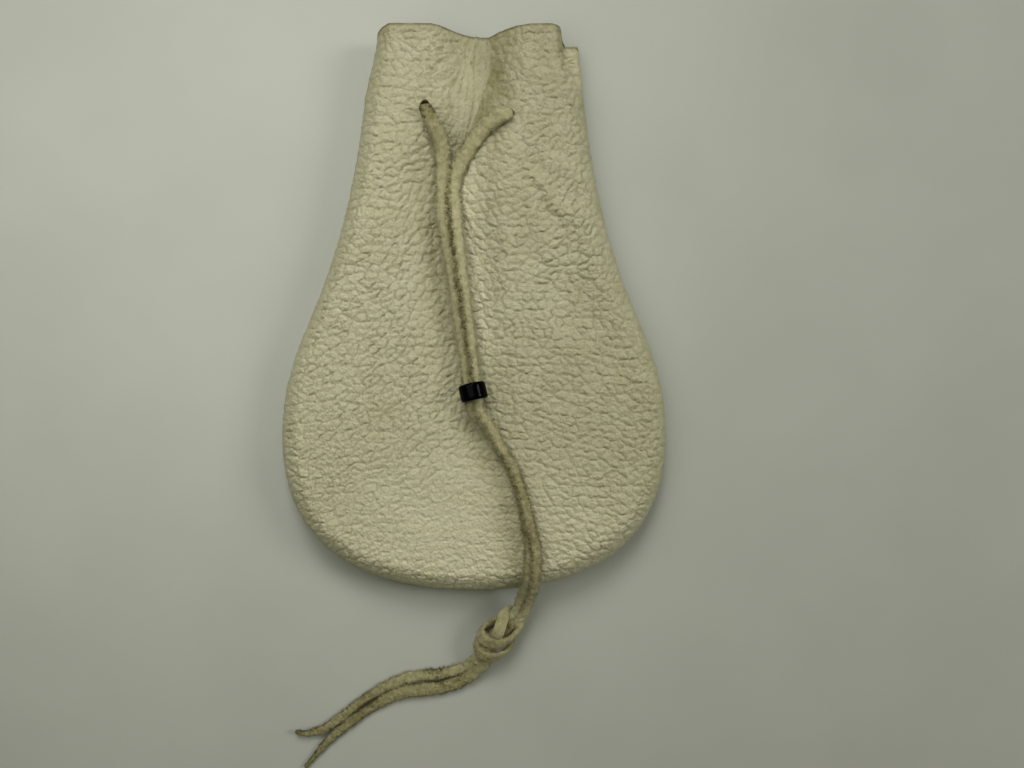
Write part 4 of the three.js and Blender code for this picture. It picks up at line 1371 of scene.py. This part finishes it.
left_dirt_and_shade = dirt_and_shade_of(left_strip, LEFT_DIRT_AND_SHADE, 1, LEFT_CLEAN_UNTIL)
left_lace = laced("left_lace", "lace_left_strand", [left_strip], [left_dirt_and_shade])
right_lace = laced("right_lace", "lace_right_strand", [right_strip], [dirt_and_shade_of(right_strip, RIGHT_DIRT, -1)])
curled_lace = laced("curled_tail", "lace_tail_curled", [curled_strip], [dirt_and_shade_of(curled_strip, CURLED_DIRT)])
thin_lace = laced("thin_tail", "lace_tail_thin", [thin_strip], [dirt_and_shade_of(thin_strip, THIN_DIRT)])
laced("mouth_lace", "lace_mouth_run", [run_strip], [dirt_and_shade_of(run_strip, RUN_DIRT)])
knot_dirt_and_shade = [np.full(len(made["points"]), amount) for made, amount in zip(knot_strips, KNOT_DIRT_AND_SHADE)]
knot = laced("knot", "lace_knot", knot_strips, knot_dirt_and_shade)


# Bead

BEAD_BORE = 2.85
BEAD_RADIUS = 4.3
BEAD_HALF = 2.7
BEAD_CORNER = 0.8
BEAD_LIP = 0.35
BEAD_TURNS = 72
BEAD_UNEVEN = 0.012
BEAD_LEAN = 5
ARC_POINTS = 7


def bead_profile():
    """Half section of the bead: bore, lips and soft corners."""
    arc = np.linspace(0, np.pi / 2, ARC_POINTS)
    flat = BEAD_HALF - BEAD_CORNER
    lower = [BEAD_RADIUS - BEAD_CORNER + BEAD_CORNER * np.sin(arc), -flat - BEAD_CORNER * np.cos(arc)]
    lower = np.stack(lower, 1)
    height = np.linspace(-flat, flat, ARC_POINTS)[1:-1]
    wall = np.stack([np.full(len(height), BEAD_RADIUS), height], 1)
    upper = lower[::-1] * [1, -1]
    mouth = [BEAD_BORE + BEAD_LIP - BEAD_LIP * np.sin(arc), BEAD_HALF - BEAD_LIP + BEAD_LIP * np.cos(arc)]
    mouth = np.stack(mouth, 1)
    return np.concatenate([lower, wall, upper, mouth, mouth[::-1] * [1, -1]])


def turned_bead():
    profile = bead_profile()
    spin = round_angles(BEAD_TURNS)
    away, height = profile[None, :, 0], np.repeat(profile[None, :, 1], BEAD_TURNS, 0)
    points = np.stack([away * np.cos(spin)[:, None], away * np.sin(spin)[:, None], height], 2).reshape(-1, 3)
    points *= (1 + BEAD_UNEVEN * noise(points, *BEAD_NOISE))[:, None]
    slide = Vector(SLIDE_END - SLIDE_START).normalized()
    turn_to_slide = np.array(Vector((0, 0, 1)).rotation_difference(slide).to_matrix())
    lean = np.array(Matrix.Rotation(math.radians(BEAD_LEAN), 3, "Z"))
    points = points @ turn_to_slide.T @ lean.T + SLIDE_START
    return object_of("bead", points, tube_faces(BEAD_TURNS, len(profile), True), [bead_material])


bead = turned_bead()
dress(bead, "bead", "cord_bead")


# Seam: stitches in the groove between the two folds

STITCH_PITCH = 3.6
STITCH_GAP = 0.25
STITCH_SIDES = 8
STITCH_ROWS = 9
STITCH_DEEP = 1.05
STITCH_BOW = 0.72
STITCH_BOW_POWER = 0.6
STITCH_HEIGHT = 3.9
STITCH_WAVER = 0.05
STITCH_WAVES = 9
STITCH_RADIUS = 0.3
STITCH_END = 0.75
SEAM_STEP = 0.5
SEAM_END = MOUTH_Y - CORNER_STEP - 2


def stitches():
    edge, inward = outline(SEAM_STEP, SEAM_END)
    run = run_of(edge)
    angle = round_angles(STITCH_SIDES)
    bow = np.sin(np.linspace(0, np.pi, STITCH_ROWS))
    inset = STITCH_DEEP - STITCH_BOW * bow**STITCH_BOW_POWER
    radius = STITCH_RADIUS * (STITCH_END + (1 - STITCH_END) * bow)
    points, faces = [], []
    for k in range(int(run[-1] / STITCH_PITCH)):
        at = np.linspace(k * STITCH_PITCH + STITCH_GAP, (k + 1) * STITCH_PITCH - STITCH_GAP, STITCH_ROWS)
        place = places_at(at, run, edge) + places_at(at, run, inward) * inset[:, None]
        place = np.stack(tucked(*place.T, inset), 1)
        line = np.column_stack([place, STITCH_HEIGHT + STITCH_WAVER * np.cos(at * STITCH_WAVES)])
        tangent = unit(np.gradient(line, axis=0))
        side = unit(np.cross([0, 0, 1], tangent))
        up = np.cross(tangent, side)
        out = side[:, None] * np.cos(angle)[:, None] + up[:, None] * np.sin(angle)[:, None]
        base = len(points) * STITCH_ROWS * STITCH_SIDES
        points.append((line[:, None] + radius[:, None, None] * out).reshape(-1, 3))
        faces += tube_faces(STITCH_ROWS, STITCH_SIDES, False, base)
        faces.append(tuple(range(base, base + STITCH_SIDES))[::-1])
        last = base + (STITCH_ROWS - 1) * STITCH_SIDES
        faces.append(tuple(range(last, last + STITCH_SIDES)))
    return object_of("seam_stitches", np.concatenate(points), faces, [thread_material])


seam = stitches()
dress(seam, "pouch", "seam_thread")


# Camera, floor and light, in metres

CAMERA_PLACE = (0.0124, -0.0234, 0.270)
SENSOR_WIDTH = 36
LENS = 28.3
CLIP_START = 0.01
FLOOR_SIZE = 6
WORLD_COLOUR = (1, 1, 0.75, 1)
WORLD_STRENGTH = 0.165
ORIGIN = (0, 0, 0)

camera = bpy.data.objects.new("camera", bpy.data.cameras.new("camera"))
camera.data.sensor_width = SENSOR_WIDTH
camera.data.lens = LENS
camera.location = CAMERA_PLACE
camera.data.clip_start = CLIP_START
bpy.context.scene.collection.objects.link(camera)
bpy.context.scene.camera = camera

bpy.ops.mesh.primitive_plane_add(size=FLOOR_SIZE)
floor = bpy.context.object
floor.name = "floor"
board = two_toned("floor_board", (60, 3.0), (167, 169, 158), (163, 165, 154), 0.55, (1.5, 3.0),
                  0.02, 0.3, Specular_IOR_Level=0.25)
floor.data.materials.append(board)

bpy.context.scene.view_settings.view_transform = "Standard"
world = bpy.data.worlds.new("world")
world.use_nodes = True
world.node_tree.nodes["Background"].inputs["Color"].default_value = WORLD_COLOUR
world.node_tree.nodes["Background"].inputs["Strength"].default_value = WORLD_STRENGTH
bpy.context.scene.world = world


def lamp(name, place, aim, size, power):
    made = bpy.data.objects.new(name, bpy.data.lights.new(name, "AREA"))
    made.data.shape = "DISK"
    made.data.size = size
    made.data.energy = power
    made.location = place
    made.rotation_mode = "QUATERNION"
    made.rotation_quaternion = (Vector(aim) - Vector(place)).to_track_quat("-Z", "Y")
    made.visible_camera = False
    bpy.context.scene.collection.objects.link(made)


lamp("overhead", (-0.10, 0.08, 0.21), (-0.10, 0.08, 0), size=0.28, power=0.375)
lamp("key", (-0.05, 1.15, 1.0), ORIGIN, size=0.6, power=9.0)
lamp("fill", (1.3, 0.25, 0.9), ORIGIN, size=0.6, power=9.6)
